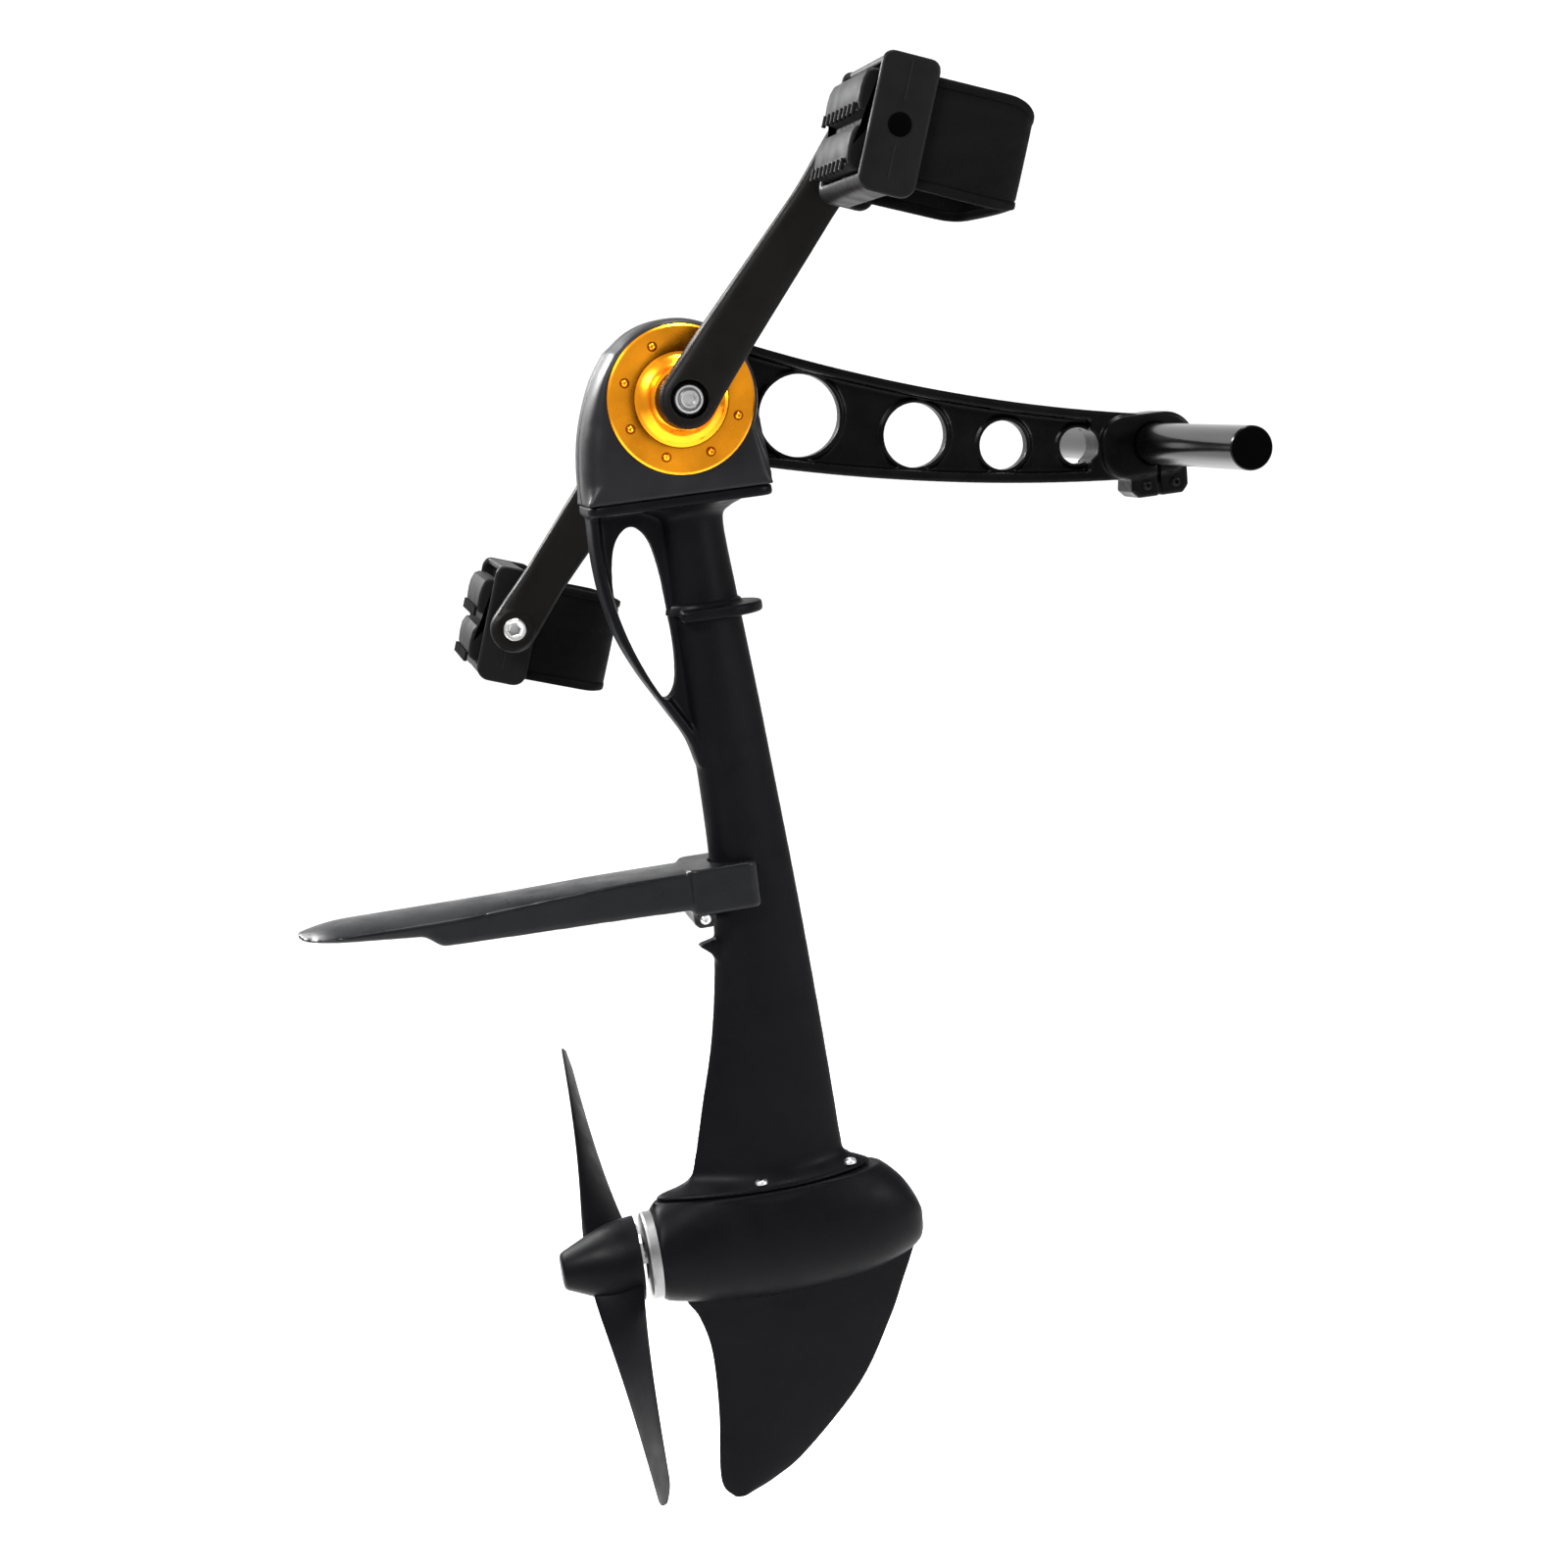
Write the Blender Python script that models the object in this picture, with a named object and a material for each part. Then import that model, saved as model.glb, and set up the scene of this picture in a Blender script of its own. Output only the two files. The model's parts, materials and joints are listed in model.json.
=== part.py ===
"""Pedal drive for a kayak: cranks, two bevel gear stages, a vertical shaft and a two-blade propeller.

Frame: +X forward (towards the bow), +Y to port, +Z up, in metres.
The origin is the centre of the cross tube on which the whole drive hangs and swings up.
The crank axis lies aft of it and a little above.  Side -1 is the starboard side, side +1 is port.
"""
import bpy
import bmesh
from math import atan2, cos, pi, radians, sin, sqrt
from mathutils import Vector

# ---------------------------------------------------------------- driving dimensions
GAP = 0.0003                      # clearance between touching pieces
TUBE_X = 0.294                    # cross tube centre, seen from the crank axis
TUBE_Z = -0.0643
TUBE_RADIUS = 0.0127
TUBE_BORE = 0.0107
TUBE_HALF_LENGTH = 0.180

CRANK_LENGTH = 0.170
CRANK_ANGLE = radians(39.4)       # starboard crank, leaning forward from straight up
CRANK_HUB_IN = 0.0418             # distances from the centre plane
CRANK_HUB_OUT = 0.0625
CRANK_EYE_IN = 0.0710
CRANK_EYE_OUT = 0.0850
SPINDLE_SHOULDER = 0.0920
SPINDLE_END = 0.1885
PEDAL_LEAN = radians(19.5)

CASING_RADIUS = 0.0485
CASING_HALF = 0.0294
CASING_FLOOR = -0.0563
CAVITY_RADIUS = 0.0395
CAVITY_HALF = 0.0215
SPIGOT_RADIUS = 0.0300
CAP_RADIUS = 0.0447
AXLE_RADIUS = 0.0085

SHAFT_RADIUS = 0.0060
PINION_SEAT_RADIUS = 0.0032
LEG_BORE = 0.0090
BEARING_SEAT = 0.0150
FLANGE_TOP = CASING_FLOOR - GAP
FLANGE_BOTTOM = -0.0630
FOOT_BOTTOM = -0.4935

PROP_AXIS_Z = -0.5287
PROP_X = -0.1090
PROP_RADIUS = 0.1680
PROP_PITCH = 0.300
PROP_ANGLE = radians(51.5)        # lower blade swung to starboard from straight down
PROP_SHAFT_RADIUS = 0.0050
GEARCASE_AFT = -0.0810
GEARCASE_BORE = 0.0225

CROWN_TEETH = 40
UPPER_PINION_TEETH = 10
UPPER_MODULE = 0.0017
LOWER_GEAR_TEETH = 24
LOWER_PINION_TEETH = 10
LOWER_MODULE = 0.0016
PLAIN_GEAR_SIDES = 16             # sides of a gear's hub and bore


# ---------------------------------------------------------------- small helpers
def clear_scene():
    for ob in list(bpy.data.objects):
        bpy.data.objects.remove(ob, do_unlink=True)


def material(name, colour, roughness, metallic):
    mat = bpy.data.materials.new(name)
    mat.use_nodes = True
    shader = mat.node_tree.nodes["Principled BSDF"]
    shader.inputs["Base Color"].default_value = (*colour, 1.0)
    shader.inputs["Roughness"].default_value = roughness
    shader.inputs["Metallic"].default_value = metallic
    return mat


def empty(name, location, parent=None, lean=0.0):
    ob = bpy.data.objects.new(name, None)
    bpy.context.collection.objects.link(ob)
    ob.location = location
    ob.rotation_euler = (0.0, lean, 0.0)
    ob.parent = parent
    return ob


def add_object(name, bm, mat, parent, smooth_angle=32.0):
    bmesh.ops.recalc_face_normals(bm, faces=bm.faces)
    mesh = bpy.data.meshes.new(name)
    bm.to_mesh(mesh)
    bm.free()
    mesh.shade_smooth()
    mesh.set_sharp_from_angle(angle=radians(smooth_angle))
    ob = bpy.data.objects.new(name, mesh)
    bpy.context.collection.objects.link(ob)
    ob.parent = parent
    if mat is not None:
        mesh.materials.append(mat)
    return ob


def boolean(ob, tool, operation="DIFFERENCE", solver="EXACT"):
    """Cut with, or join to, a tool object that stays hidden."""
    tool.hide_render = True
    tool.display_type = "WIRE"
    mod = ob.modifiers.new(operation.lower() + "_" + tool.name, "BOOLEAN")
    mod.operation = operation
    mod.solver = solver
    mod.object = tool


def bevel(ob, width, segments=2, angle=40.0):
    mod = ob.modifiers.new("rounded_edges", "BEVEL")
    mod.width = width
    mod.segments = segments
    mod.limit_method = "ANGLE"
    mod.angle_limit = radians(angle)


def arc(centre, radius, start, end, count):
    """Points of an arc in a plane, with start and end in degrees."""
    points = []
    for i in range(count + 1):
        a = radians(start + (end - start) * i / count)
        points.append((centre[0] + radius * cos(a), centre[1] + radius * sin(a)))
    return points


def ease(share):
    """A smooth step from 0 to 1."""
    share = min(1.0, max(0.0, share))
    return share * share * (3 - 2 * share)


def turn(bm, profile, axis, centre, count, closed=True):
    """Turn a profile of (radius, height) points round an axis; radius 0 makes a pole."""
    along = Vector(axis).normalized()
    side = along.orthogonal().normalized()
    other = along.cross(side)
    centre = Vector(centre)
    rings = []
    for radius, height in profile:
        base = centre + along * height
        if radius == 0.0:
            rings.append([bm.verts.new(base)])
            continue
        ring = []
        for i in range(count):
            a = 2 * pi * i / count
            ring.append(bm.verts.new(base + side * radius * cos(a) + other * radius * sin(a)))
        rings.append(ring)
    pairs = list(zip(rings, rings[1:]))
    if closed:
        pairs.append((rings[-1], rings[0]))
    for low, high in pairs:
        for i in range(count):
            j = (i + 1) % count
            corners = [low[i % len(low)], low[j % len(low)], high[j % len(high)], high[i % len(high)]]
            unique = list(dict.fromkeys(corners))
            if len(unique) > 2:
                bm.faces.new(unique)


def cylinder(bm, radius, low, high, axis, centre, count):
    """A capped cylinder, its ends as flat polygons."""
    along = Vector(axis).normalized()
    side = along.orthogonal().normalized()
    other = along.cross(side)
    rings = []
    for height in (low, high):
        ring = []
        for i in range(count):
            a = 2 * pi * i / count
            offset = side * radius * cos(a) + other * radius * sin(a)
            ring.append(bm.verts.new(Vector(centre) + along * height + offset))
        rings.append(ring)
    bridge(bm, rings)


def bridge(bm, rings):
    """Skin closed rings of equal count and cap both ends."""
    count = len(rings[0])
    for low, high in zip(rings, rings[1:]):
        for i in range(count):
            j = (i + 1) % count
            bm.faces.new((low[i], low[j], high[j], high[i]))
    bm.faces.new(list(reversed(rings[0])))
    bm.faces.new(rings[-1])


def loft(bm, sections):
    bridge(bm, [[bm.verts.new(p) for p in section] for section in sections])
    sides = [f for f in bm.faces if len(f.verts) == 4]
    if len(sections) > 2:
        bmesh.ops.triangulate(bm, faces=sides)


def prism_y(bm, outline, low, high):
    """An outline of (x, z) points pushed along Y."""
    loft(bm, [[(x, y, z) for x, z in outline] for y in (low, high)])


def prism_z(bm, outline, low, high):
    """An outline of (x, y) points pushed along Z."""
    loft(bm, [[(x, y, z) for x, y in outline] for z in (low, high)])


def block(bm, low, high):
    x0, y0, z0 = low
    x1, y1, z1 = high
    prism_z(bm, [(x0, y0), (x1, y0), (x1, y1), (x0, y1)], z0, z1)


def rounded_box_outline(x0, x1, z0, z1, radius, count=3):
    points = arc((x1 - radius, z1 - radius), radius, 0, 90, count)
    points += arc((x0 + radius, z1 - radius), radius, 90, 180, count)
    points += arc((x0 + radius, z0 + radius), radius, 180, 270, count)
    points += arc((x1 - radius, z0 + radius), radius, 270, 360, count)
    return points


def ring_piece(name, inner, outer, low, high, axis, centre, count, mat, parent):
    """A plain ring such as a bearing, bush, seal or washer."""
    bm = bmesh.new()
    turn(bm, [(outer, high), (outer, low), (inner, low), (inner, high)], axis, centre, count)
    return add_object(name, bm, mat, parent)


def cylinder_tool(name, radius, low, high, axis, centre, count, parent):
    bm = bmesh.new()
    cylinder(bm, radius, low, high, axis, centre, count)
    return add_object("tool_" + name, bm, None, parent)


# ---------------------------------------------------------------- bevel gears
def bevel_gear(name, teeth, mate_teeth, module, face, back, bore, phase, axis, mesh_side, apex, mat, parent):
    """A straight bevel gear whose teeth all run to the apex where the two shafts' axes cross.

    back is the (radius, height) profile of the hub behind the teeth, ending at the bore.
    mesh_side points from the axis to where the mate meshes; there a tooth stands for phase 0
    and a gap for phase 0.5.
    """
    pitch_radius = module * teeth / 2
    cone = atan2(teeth, mate_teeth)
    distance = pitch_radius / sin(cone)
    root = cone - 0.95 * module / distance
    tip = cone + 0.56 * module / distance
    # (part of one pitch, cone angle) for the four corners of a tooth
    corners = [(-0.240, root), (-0.080, tip), (0.080, tip), (0.240, root)]
    along = Vector(axis)
    side = Vector(mesh_side)
    other = along.cross(side)
    apex = Vector(apex)
    bm = bmesh.new()

    def place(radius, height, turns):
        a = 2 * pi * turns
        return bm.verts.new(apex + along * height + side * radius * cos(a) + other * radius * sin(a))

    def tooth_ring(scale):
        ring = []
        for i in range(teeth):
            for share, angle in corners:
                turns = (i + share + phase) / teeth
                reach = distance * scale
                ring.append((turns, place(reach * sin(angle), reach * cos(angle), turns)))
        return ring

    def plain_ring(radius, height):
        turns = [(i / PLAIN_GEAR_SIDES + phase / teeth) for i in range(PLAIN_GEAR_SIDES)]
        return [(t, place(radius, height, t)) for t in turns]

    outer = tooth_ring(1.0)
    inner = tooth_ring(1.0 - face / distance)
    rings = [outer] + [plain_ring(r, h) for r, h in back]
    rings += [plain_ring(bore, (distance - face) * cos(tip)), inner, outer]
    for low, high in zip(rings, rings[1:]):
        stitch(bm, low, high)
    return add_object(name, bm, mat, parent)


def stitch(bm, low, high):
    """Triangles between two rings of (turns, vertex), which may differ in count."""
    low = low + [(low[0][0] + 1.0, low[0][1])]
    high = high + [(high[0][0] + 1.0, high[0][1])]
    i = 0
    j = 0
    while i < len(low) - 1 or j < len(high) - 1:
        step_low = j == len(high) - 1 or (i < len(low) - 1 and low[i + 1][0] <= high[j + 1][0])
        if step_low:
            bm.faces.new((low[i][1], low[i + 1][1], high[j][1]))
            i += 1
        else:
            bm.faces.new((low[i][1], high[j + 1][1], high[j][1]))
            j += 1


# ---------------------------------------------------------------- head casing and bearing caps
def casing_outline():
    """Side outline of the head: round over the crank axle, wider and flat at its foot."""
    outline = arc((0.0, 0.0), CASING_RADIUS, -24, 150, 16)
    outline += [(-0.0505, 0.0120), (-0.0578, -0.0050), (-0.0622, -0.0230), (-0.0638, -0.0420)]
    outline += [(-0.0636, CASING_FLOOR), (0.0500, CASING_FLOOR), (0.0520, -0.0500)]
    return outline


def build_head(parent, mats):
    for side, label in ((-1, "starboard"), (1, "port")):
        bm = bmesh.new()
        inner = side * GAP / 2
        outer = side * CASING_HALF
        prism_y(bm, casing_outline(), min(inner, outer), max(inner, outer))
        casing = add_object(label + "_head_casing", bm, mats["black_cast"], parent)
        rounding = casing.modifiers.new("rounded_edges", "BEVEL")
        rounding.width = 0.0055
        rounding.segments = 2
        rounding.limit_method = "WEIGHT"
        weights = casing.data.attributes.new("bevel_weight_edge", "FLOAT", "EDGE")
        for edge in casing.data.edges:
            ends = [casing.data.vertices[v].co for v in edge.vertices]
            on_side = all(abs(v.y - outer) < 1e-5 for v in ends)
            on_floor = all(abs(v.z - CASING_FLOOR) < 1e-5 for v in ends)
            weights.data[edge.index].value = 1.0 if on_side and not on_floor else 0.0
        bm = bmesh.new()
        profile = [(CAVITY_RADIUS, -0.002), (CAVITY_RADIUS, CAVITY_HALF), (SPIGOT_RADIUS + GAP, CAVITY_HALF),
                   (SPIGOT_RADIUS + GAP, CASING_HALF + 0.002), (0.0, CASING_HALF + 0.002), (0.0, -0.002)]
        turn(bm, profile, (0, side, 0), (0, 0, 0), 28, closed=False)
        cavity = add_object("tool_cavity_" + label, bm, None, parent)
        boolean(casing, cavity)
        hole = cylinder_tool("shaft_hole_" + label, BEARING_SEAT + GAP, -0.060, -0.030,
                             (0, 0, 1), (0, 0, 0), 20, parent)
        boolean(casing, hole)
        build_bearing_cap(side, label, parent, mats)


def build_bearing_cap(side, label, parent, mats):
    axis = (0, side, 0)
    bm = bmesh.new()
    profile = [(0.0125, 0.0410), (0.0176, 0.0410), (0.0190, 0.0396), (0.0205, 0.0362), (0.0240, 0.0337),
               (0.0280, 0.0314), (0.0440, 0.0314), (CAP_RADIUS, 0.0307),
               (CAP_RADIUS, CASING_HALF + GAP), (SPIGOT_RADIUS, CASING_HALF + GAP), (SPIGOT_RADIUS, 0.0200),
               (0.0165, 0.0200), (0.0165, 0.0318), (0.0125, 0.0318)]
    turn(bm, profile, axis, (0, 0, 0), 28)
    add_object(label + "_bearing_cap", bm, mats["gold"], parent)
    ring_piece(label + "_axle_bearing", AXLE_RADIUS + GAP, 0.0162, 0.0220, 0.0312, axis, (0, 0, 0), 16,
               mats["bearing"], parent)
    ring_piece(label + "_axle_seal", AXLE_RADIUS + GAP, 0.0122, 0.0330, 0.0400, axis, (0, 0, 0), 16,
               mats["rubber"], parent)


# ---------------------------------------------------------------- mounting arm and cross tube
def arm_top(x):
    """Height of the arm's upper edge: a shallow hollow curve from the head to the clamp."""
    t = (x - 0.040) / 0.240
    return 0.0305 - 0.1040 * t + 0.0300 * t * t


def arm_bottom(x):
    t = (x - 0.040) / 0.240
    return -0.0448 - 0.0640 * t + 0.0240 * t * t


def arm_holes():
    """Lightening holes, each (x, z, radius), smaller towards the clamp."""
    return [(0.0752, -0.0193, 0.0251), (0.1457, -0.0403, 0.0198), (0.2008, -0.0535, 0.0151),
            (0.2480, -0.0600, 0.0125)]


def arm_outline():
    top = [(x, arm_top(x)) for x in [0.040 + 0.030 * i for i in range(9)]]
    bottom = [(x, arm_bottom(x)) for x in [0.280 - 0.030 * i for i in range(9)]]
    return top + bottom


def build_arm(parent, mats):
    flange_half = 0.0135
    web_half = 0.0035
    bm = bmesh.new()
    prism_y(bm, arm_outline(), -flange_half, flange_half)
    arm = add_object("mounting_arm", bm, mats["black_gloss"], parent)
    for side, label in ((-1, "starboard"), (1, "port")):
        bm = bmesh.new()
        pocket = [(x, arm_top(x) - 0.0062) for x in [0.040 + 0.030 * i for i in range(8)]]
        pocket += [(0.2620, arm_top(0.262) - 0.0062), (0.2620, arm_bottom(0.262) + 0.0062)]
        pocket += [(x, arm_bottom(x) + 0.0062) for x in [0.250 - 0.030 * i for i in range(8)]]
        ys = sorted((side * web_half, side * (flange_half + 0.004)))
        prism_y(bm, pocket, ys[0], ys[1])
        boolean(arm, add_object("tool_arm_pocket_" + label, bm, None, parent))
    bm = bmesh.new()
    clamp = rounded_box_outline(0.2600, TUBE_X + 0.0270, TUBE_Z - 0.0200, TUBE_Z + 0.0195, 0.0150, 4)
    prism_y(bm, clamp, -0.0170, 0.0170)
    boolean(arm, add_object("tool_clamp_body", bm, None, parent), "UNION")
    bm = bmesh.new()
    ears = [(0.2790, TUBE_Z - 0.0160), (0.2775, -0.0930), (0.2815, -0.0970), (0.3105, -0.0970),
            (0.3140, -0.0930), (0.3150, TUBE_Z - 0.0160)]
    prism_y(bm, ears, -0.0150, 0.0150)
    boolean(arm, add_object("tool_clamp_ears", bm, None, parent), "UNION")
    bm = bmesh.new()
    for x, z, radius in arm_holes():
        cylinder(bm, radius, -0.030, 0.030, (0, 1, 0), (x, 0, z), 24)
    boolean(arm, add_object("tool_arm_holes", bm, None, parent))
    bm = bmesh.new()
    cylinder(bm, TUBE_RADIUS + GAP, -0.030, 0.030, (0, 1, 0), (TUBE_X, 0, TUBE_Z), 24)
    boolean(arm, add_object("tool_clamp_bore", bm, None, parent))
    bm = bmesh.new()
    block(bm, (0.2945, -0.030, -0.110), (0.2970, 0.030, TUBE_Z))
    boolean(arm, add_object("tool_clamp_slit", bm, None, parent))
    bm = bmesh.new()
    step = [(0.0, 0.2790), (0.0025 + GAP, 0.2790), (0.0025 + GAP, 0.3090), (0.0043 + GAP, 0.3090),
            (0.0043 + GAP, 0.3400), (0.0, 0.3400)]
    turn(bm, step, (1, 0, 0), (0, 0, -0.0890), 10, closed=False)
    boolean(arm, add_object("tool_pinch_holes", bm, None, parent))
    bm = bmesh.new()
    cylinder(bm, CASING_RADIUS + 2 * GAP, -0.040, 0.040, (0, 1, 0), (0, 0, 0), 48)
    boolean(arm, add_object("tool_arm_root", bm, None, parent))
    bm = bmesh.new()
    root = [(0.0300, -0.0150), (0.0448, -0.0190), (0.0526, -0.0500), (0.0526, -0.0700), (0.0300, -0.0700)]
    prism_y(bm, root, -0.040, 0.040)
    boolean(arm, add_object("tool_arm_heel", bm, None, parent))

    bm = bmesh.new()
    screw = [(0.0, 0.2795), (0.0025, 0.2795), (0.0025, 0.3095), (0.0043, 0.3095), (0.0043, 0.3130),
             (0.0, 0.3130)]
    turn(bm, screw, (1, 0, 0), (0, 0, -0.0890), 10, closed=False)
    add_object("clamp_pinch_screw", bm, mats["steel"], parent)


def build_tube(parent, mats):
    centre = (TUBE_X, 0, TUBE_Z)
    bm = bmesh.new()
    ends = TUBE_HALF_LENGTH - 0.0012
    profile = [(TUBE_RADIUS, ends), (TUBE_RADIUS, -ends), (TUBE_BORE, -ends), (TUBE_BORE, ends)]
    turn(bm, profile, (0, 1, 0), centre, 24)
    add_object("cross_tube", bm, mats["tube"], parent)
    for side, label in ((-1, "starboard"), (1, "port")):
        bm = bmesh.new()
        plug = [(0.0, TUBE_HALF_LENGTH), (TUBE_RADIUS - 0.0006, TUBE_HALF_LENGTH),
                (TUBE_RADIUS - 0.0002, ends + GAP), (TUBE_BORE - GAP, ends + GAP),
                (TUBE_BORE - GAP, TUBE_HALF_LENGTH - 0.014), (0.0, TUBE_HALF_LENGTH - 0.014)]
        turn(bm, plug, (0, side, 0), centre, 20, closed=False)
        add_object(label + "_tube_plug", bm, mats["rubber"], parent)


# ---------------------------------------------------------------- leg
LEG_STATIONS = [                  # height, aft edge, fore edge, half thickness, sharpness of the aft edge
    (-0.0660, -0.0210, 0.0240, 0.0205, 0.0),
    (-0.0740, -0.0195, 0.0205, 0.0188, 0.0),
    (-0.1200, -0.0190, 0.0240, 0.0182, 0.0),
    (-0.1850, -0.0170, 0.0293, 0.0180, 0.0),
    (-0.2300, -0.0150, 0.0325, 0.0178, 0.1),
    (-0.2900, -0.0150, 0.0368, 0.0175, 0.2),
    (-0.3450, -0.0195, 0.0402, 0.0172, 0.35),
    (-0.3960, -0.0282, 0.0430, 0.0168, 0.5),
    (-0.4400, -0.0403, 0.0450, 0.0166, 0.6),
    (-0.4740, -0.0495, 0.0463, 0.0168, 0.62),
    (-0.4835, -0.0540, 0.0480, 0.0180, 0.55),
    (-0.4890, -0.0660, 0.0580, 0.0212, 0.40),
    (FOOT_BOTTOM, -0.0780, 0.0625, 0.0235, 0.35),
]


def leg_section(station, offset=0.0, count=16):
    height, aft, fore, half, sharp = station
    ring = []
    for i in range(count):
        a = 2 * pi * i / count
        c = cos(a)
        length = fore + offset if c > 0 else -aft + offset
        thin = 1.0 - sharp * c * c if c < 0 else 1.0 - 0.18 * c * c
        ring.append((length * c, (half + offset) * thin * sin(a), height))
    return ring


def handle_outline():
    """Outer edge of the grip, then back up inside the leg."""
    outer = [(-0.0620, FLANGE_BOTTOM + 0.001), (-0.0624, -0.0900), (-0.0600, -0.1150), (-0.0540, -0.1390),
             (-0.0440, -0.1620), (-0.0300, -0.1850), (-0.0200, -0.2020), (-0.0155, -0.2220)]
    return outer + [(-0.0060, -0.2350), (-0.0060, FLANGE_BOTTOM + 0.001)]


def hand_hole_outline():
    right = [(-0.0375, -0.0722), (-0.0275, -0.0800), (-0.0225, -0.1000), (-0.0205, -0.1250),
             (-0.0195, -0.1500), (-0.0215, -0.1700), (-0.0275, -0.1788)]
    left = [(-0.0330, -0.1745), (-0.0440, -0.1500), (-0.0510, -0.1250), (-0.0520, -0.1020),
            (-0.0475, -0.0810)]
    return right + left


def build_leg(parent, mats):
    bm = bmesh.new()
    loft(bm, [leg_section(s) for s in LEG_STATIONS])
    leg = add_object("leg_casting", bm, mats["black_cast"], parent, 50)

    bm = bmesh.new()
    prism_y(bm, handle_outline(), -0.0125, 0.0125)
    handle = add_object("tool_handle", bm, None, parent)
    bm = bmesh.new()
    prism_y(bm, hand_hole_outline(), -0.030, 0.030)
    boolean(handle, add_object("tool_hand_hole", bm, None, parent))
    bevel(handle, 0.0045, 2, 60)
    boolean(leg, handle, "UNION")

    bm = bmesh.new()
    flange = rounded_box_outline(-0.0632, 0.0498, -0.0288, 0.0288, 0.0100, 3)
    prism_z(bm, flange, FLANGE_BOTTOM, FLANGE_TOP)
    boolean(leg, add_object("tool_flange", bm, None, parent), "UNION")
    bm = bmesh.new()
    neck = [(0.0320, FLANGE_BOTTOM + 0.001), (0.0250, -0.0660), (0.0210, -0.0740), (0.0, -0.0800),
            (0.0, -0.0620)]
    prism_y(bm, neck, -0.0100, 0.0100)
    boolean(leg, add_object("tool_neck", bm, None, parent), "UNION")
    bm = bmesh.new()
    spur = [(-0.0290, -0.3350), (-0.0100, -0.3310), (-0.0100, -0.3540), (-0.0175, -0.3500),
            (-0.0215, -0.3410)]
    prism_y(bm, spur, -0.0055, 0.0055)
    boolean(leg, add_object("tool_spur", bm, None, parent), "UNION")

    bm = bmesh.new()
    cylinder(bm, LEG_BORE, -0.500, -0.050, (0, 0, 1), (0, 0, 0), 20)
    boolean(leg, add_object("tool_leg_bore", bm, None, parent))
    bm = bmesh.new()
    cylinder(bm, 0.0130 + GAP, -0.500, -0.4820, (0, 0, 1), (0, 0, 0), 20)
    boolean(leg, add_object("tool_lower_seat", bm, None, parent))
    bm = bmesh.new()
    for x, y in gearcase_screw_places():
        step = [(0.0, -0.5000), (0.0017 + GAP, -0.5000), (0.0017 + GAP, -0.4893), (0.0034, -0.4893),
                (0.0034, -0.4700), (0.0, -0.4700)]
        turn(bm, step, (0, 0, 1), (x, y, 0), 8, closed=False)
    boolean(leg, add_object("tool_foot_screw_holes", bm, None, parent))

    bm = bmesh.new()
    collar = arc((0.0120, 0.0), 0.0262, -75, 75, 10) + [(-0.0130, 0.0235), (-0.0130, -0.0235)]
    prism_z(bm, collar, -0.1330, -0.1262)
    ring = add_object("deck_collar", bm, mats["black_cast"], parent)
    bevel(ring, 0.0015, 2, 50)
    bm = bmesh.new()
    loft(bm, [leg_section(LEG_STATIONS[i], GAP * 2) for i in (1, 2, 3)])
    boolean(ring, add_object("tool_collar_bore", bm, None, parent))


def gearcase_screw_places():
    return [(x, y) for x, y in ((-0.0113, -0.0192), (-0.0113, 0.0192), (0.0480, -0.0105), (0.0480, 0.0105))]


# ---------------------------------------------------------------- slot cover plate
COVER_TIP = -0.2700
COVER_TOP = -0.2846
COVER_FULL_HALF = 0.0285
COVER_ROOT_HALF = 0.0215
KEEL_START = -0.1980


def cover_half_width(x):
    """Plan of the leaf: a blunt round tip, full width, then drawn in a little towards the leg."""
    nose = max(0.0, 1.0 - (x - COVER_TIP) / 0.035)
    full = COVER_FULL_HALF - (COVER_FULL_HALF - COVER_ROOT_HALF) * ease((x + 0.190) / 0.150)
    return full * sqrt(1.0 - nose ** 2.5) + 0.0004


def cover_droop(x):
    """How far the crowned top falls to its edge, less towards the leg."""
    return 0.0010 + 0.0038 * (1.0 - ease((x + 0.190) / 0.130))


def cover_bottom(x):
    """The wall deepens from the tip, then steps down to the keel."""
    wall = 0.0010 + 0.0066 * min(1.0, (x - COVER_TIP) / (KEEL_START - COVER_TIP))
    keel = ease((x - KEEL_START) / 0.012) * (0.0081 + 0.0060 * (x - KEEL_START) / 0.19)
    return COVER_TOP - 0.0048 - wall - keel


def cover_section(x):
    w = cover_half_width(x)
    edge = COVER_TOP - cover_droop(x)
    low = cover_bottom(x)
    half = [(x, 0.55 * w, COVER_TOP), (x, w, edge), (x, 0.97 * w, low + 0.0010), (x, 0.80 * w, low)]
    return half + [(x, -y, z) for x, y, z in reversed(half)]


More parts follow.
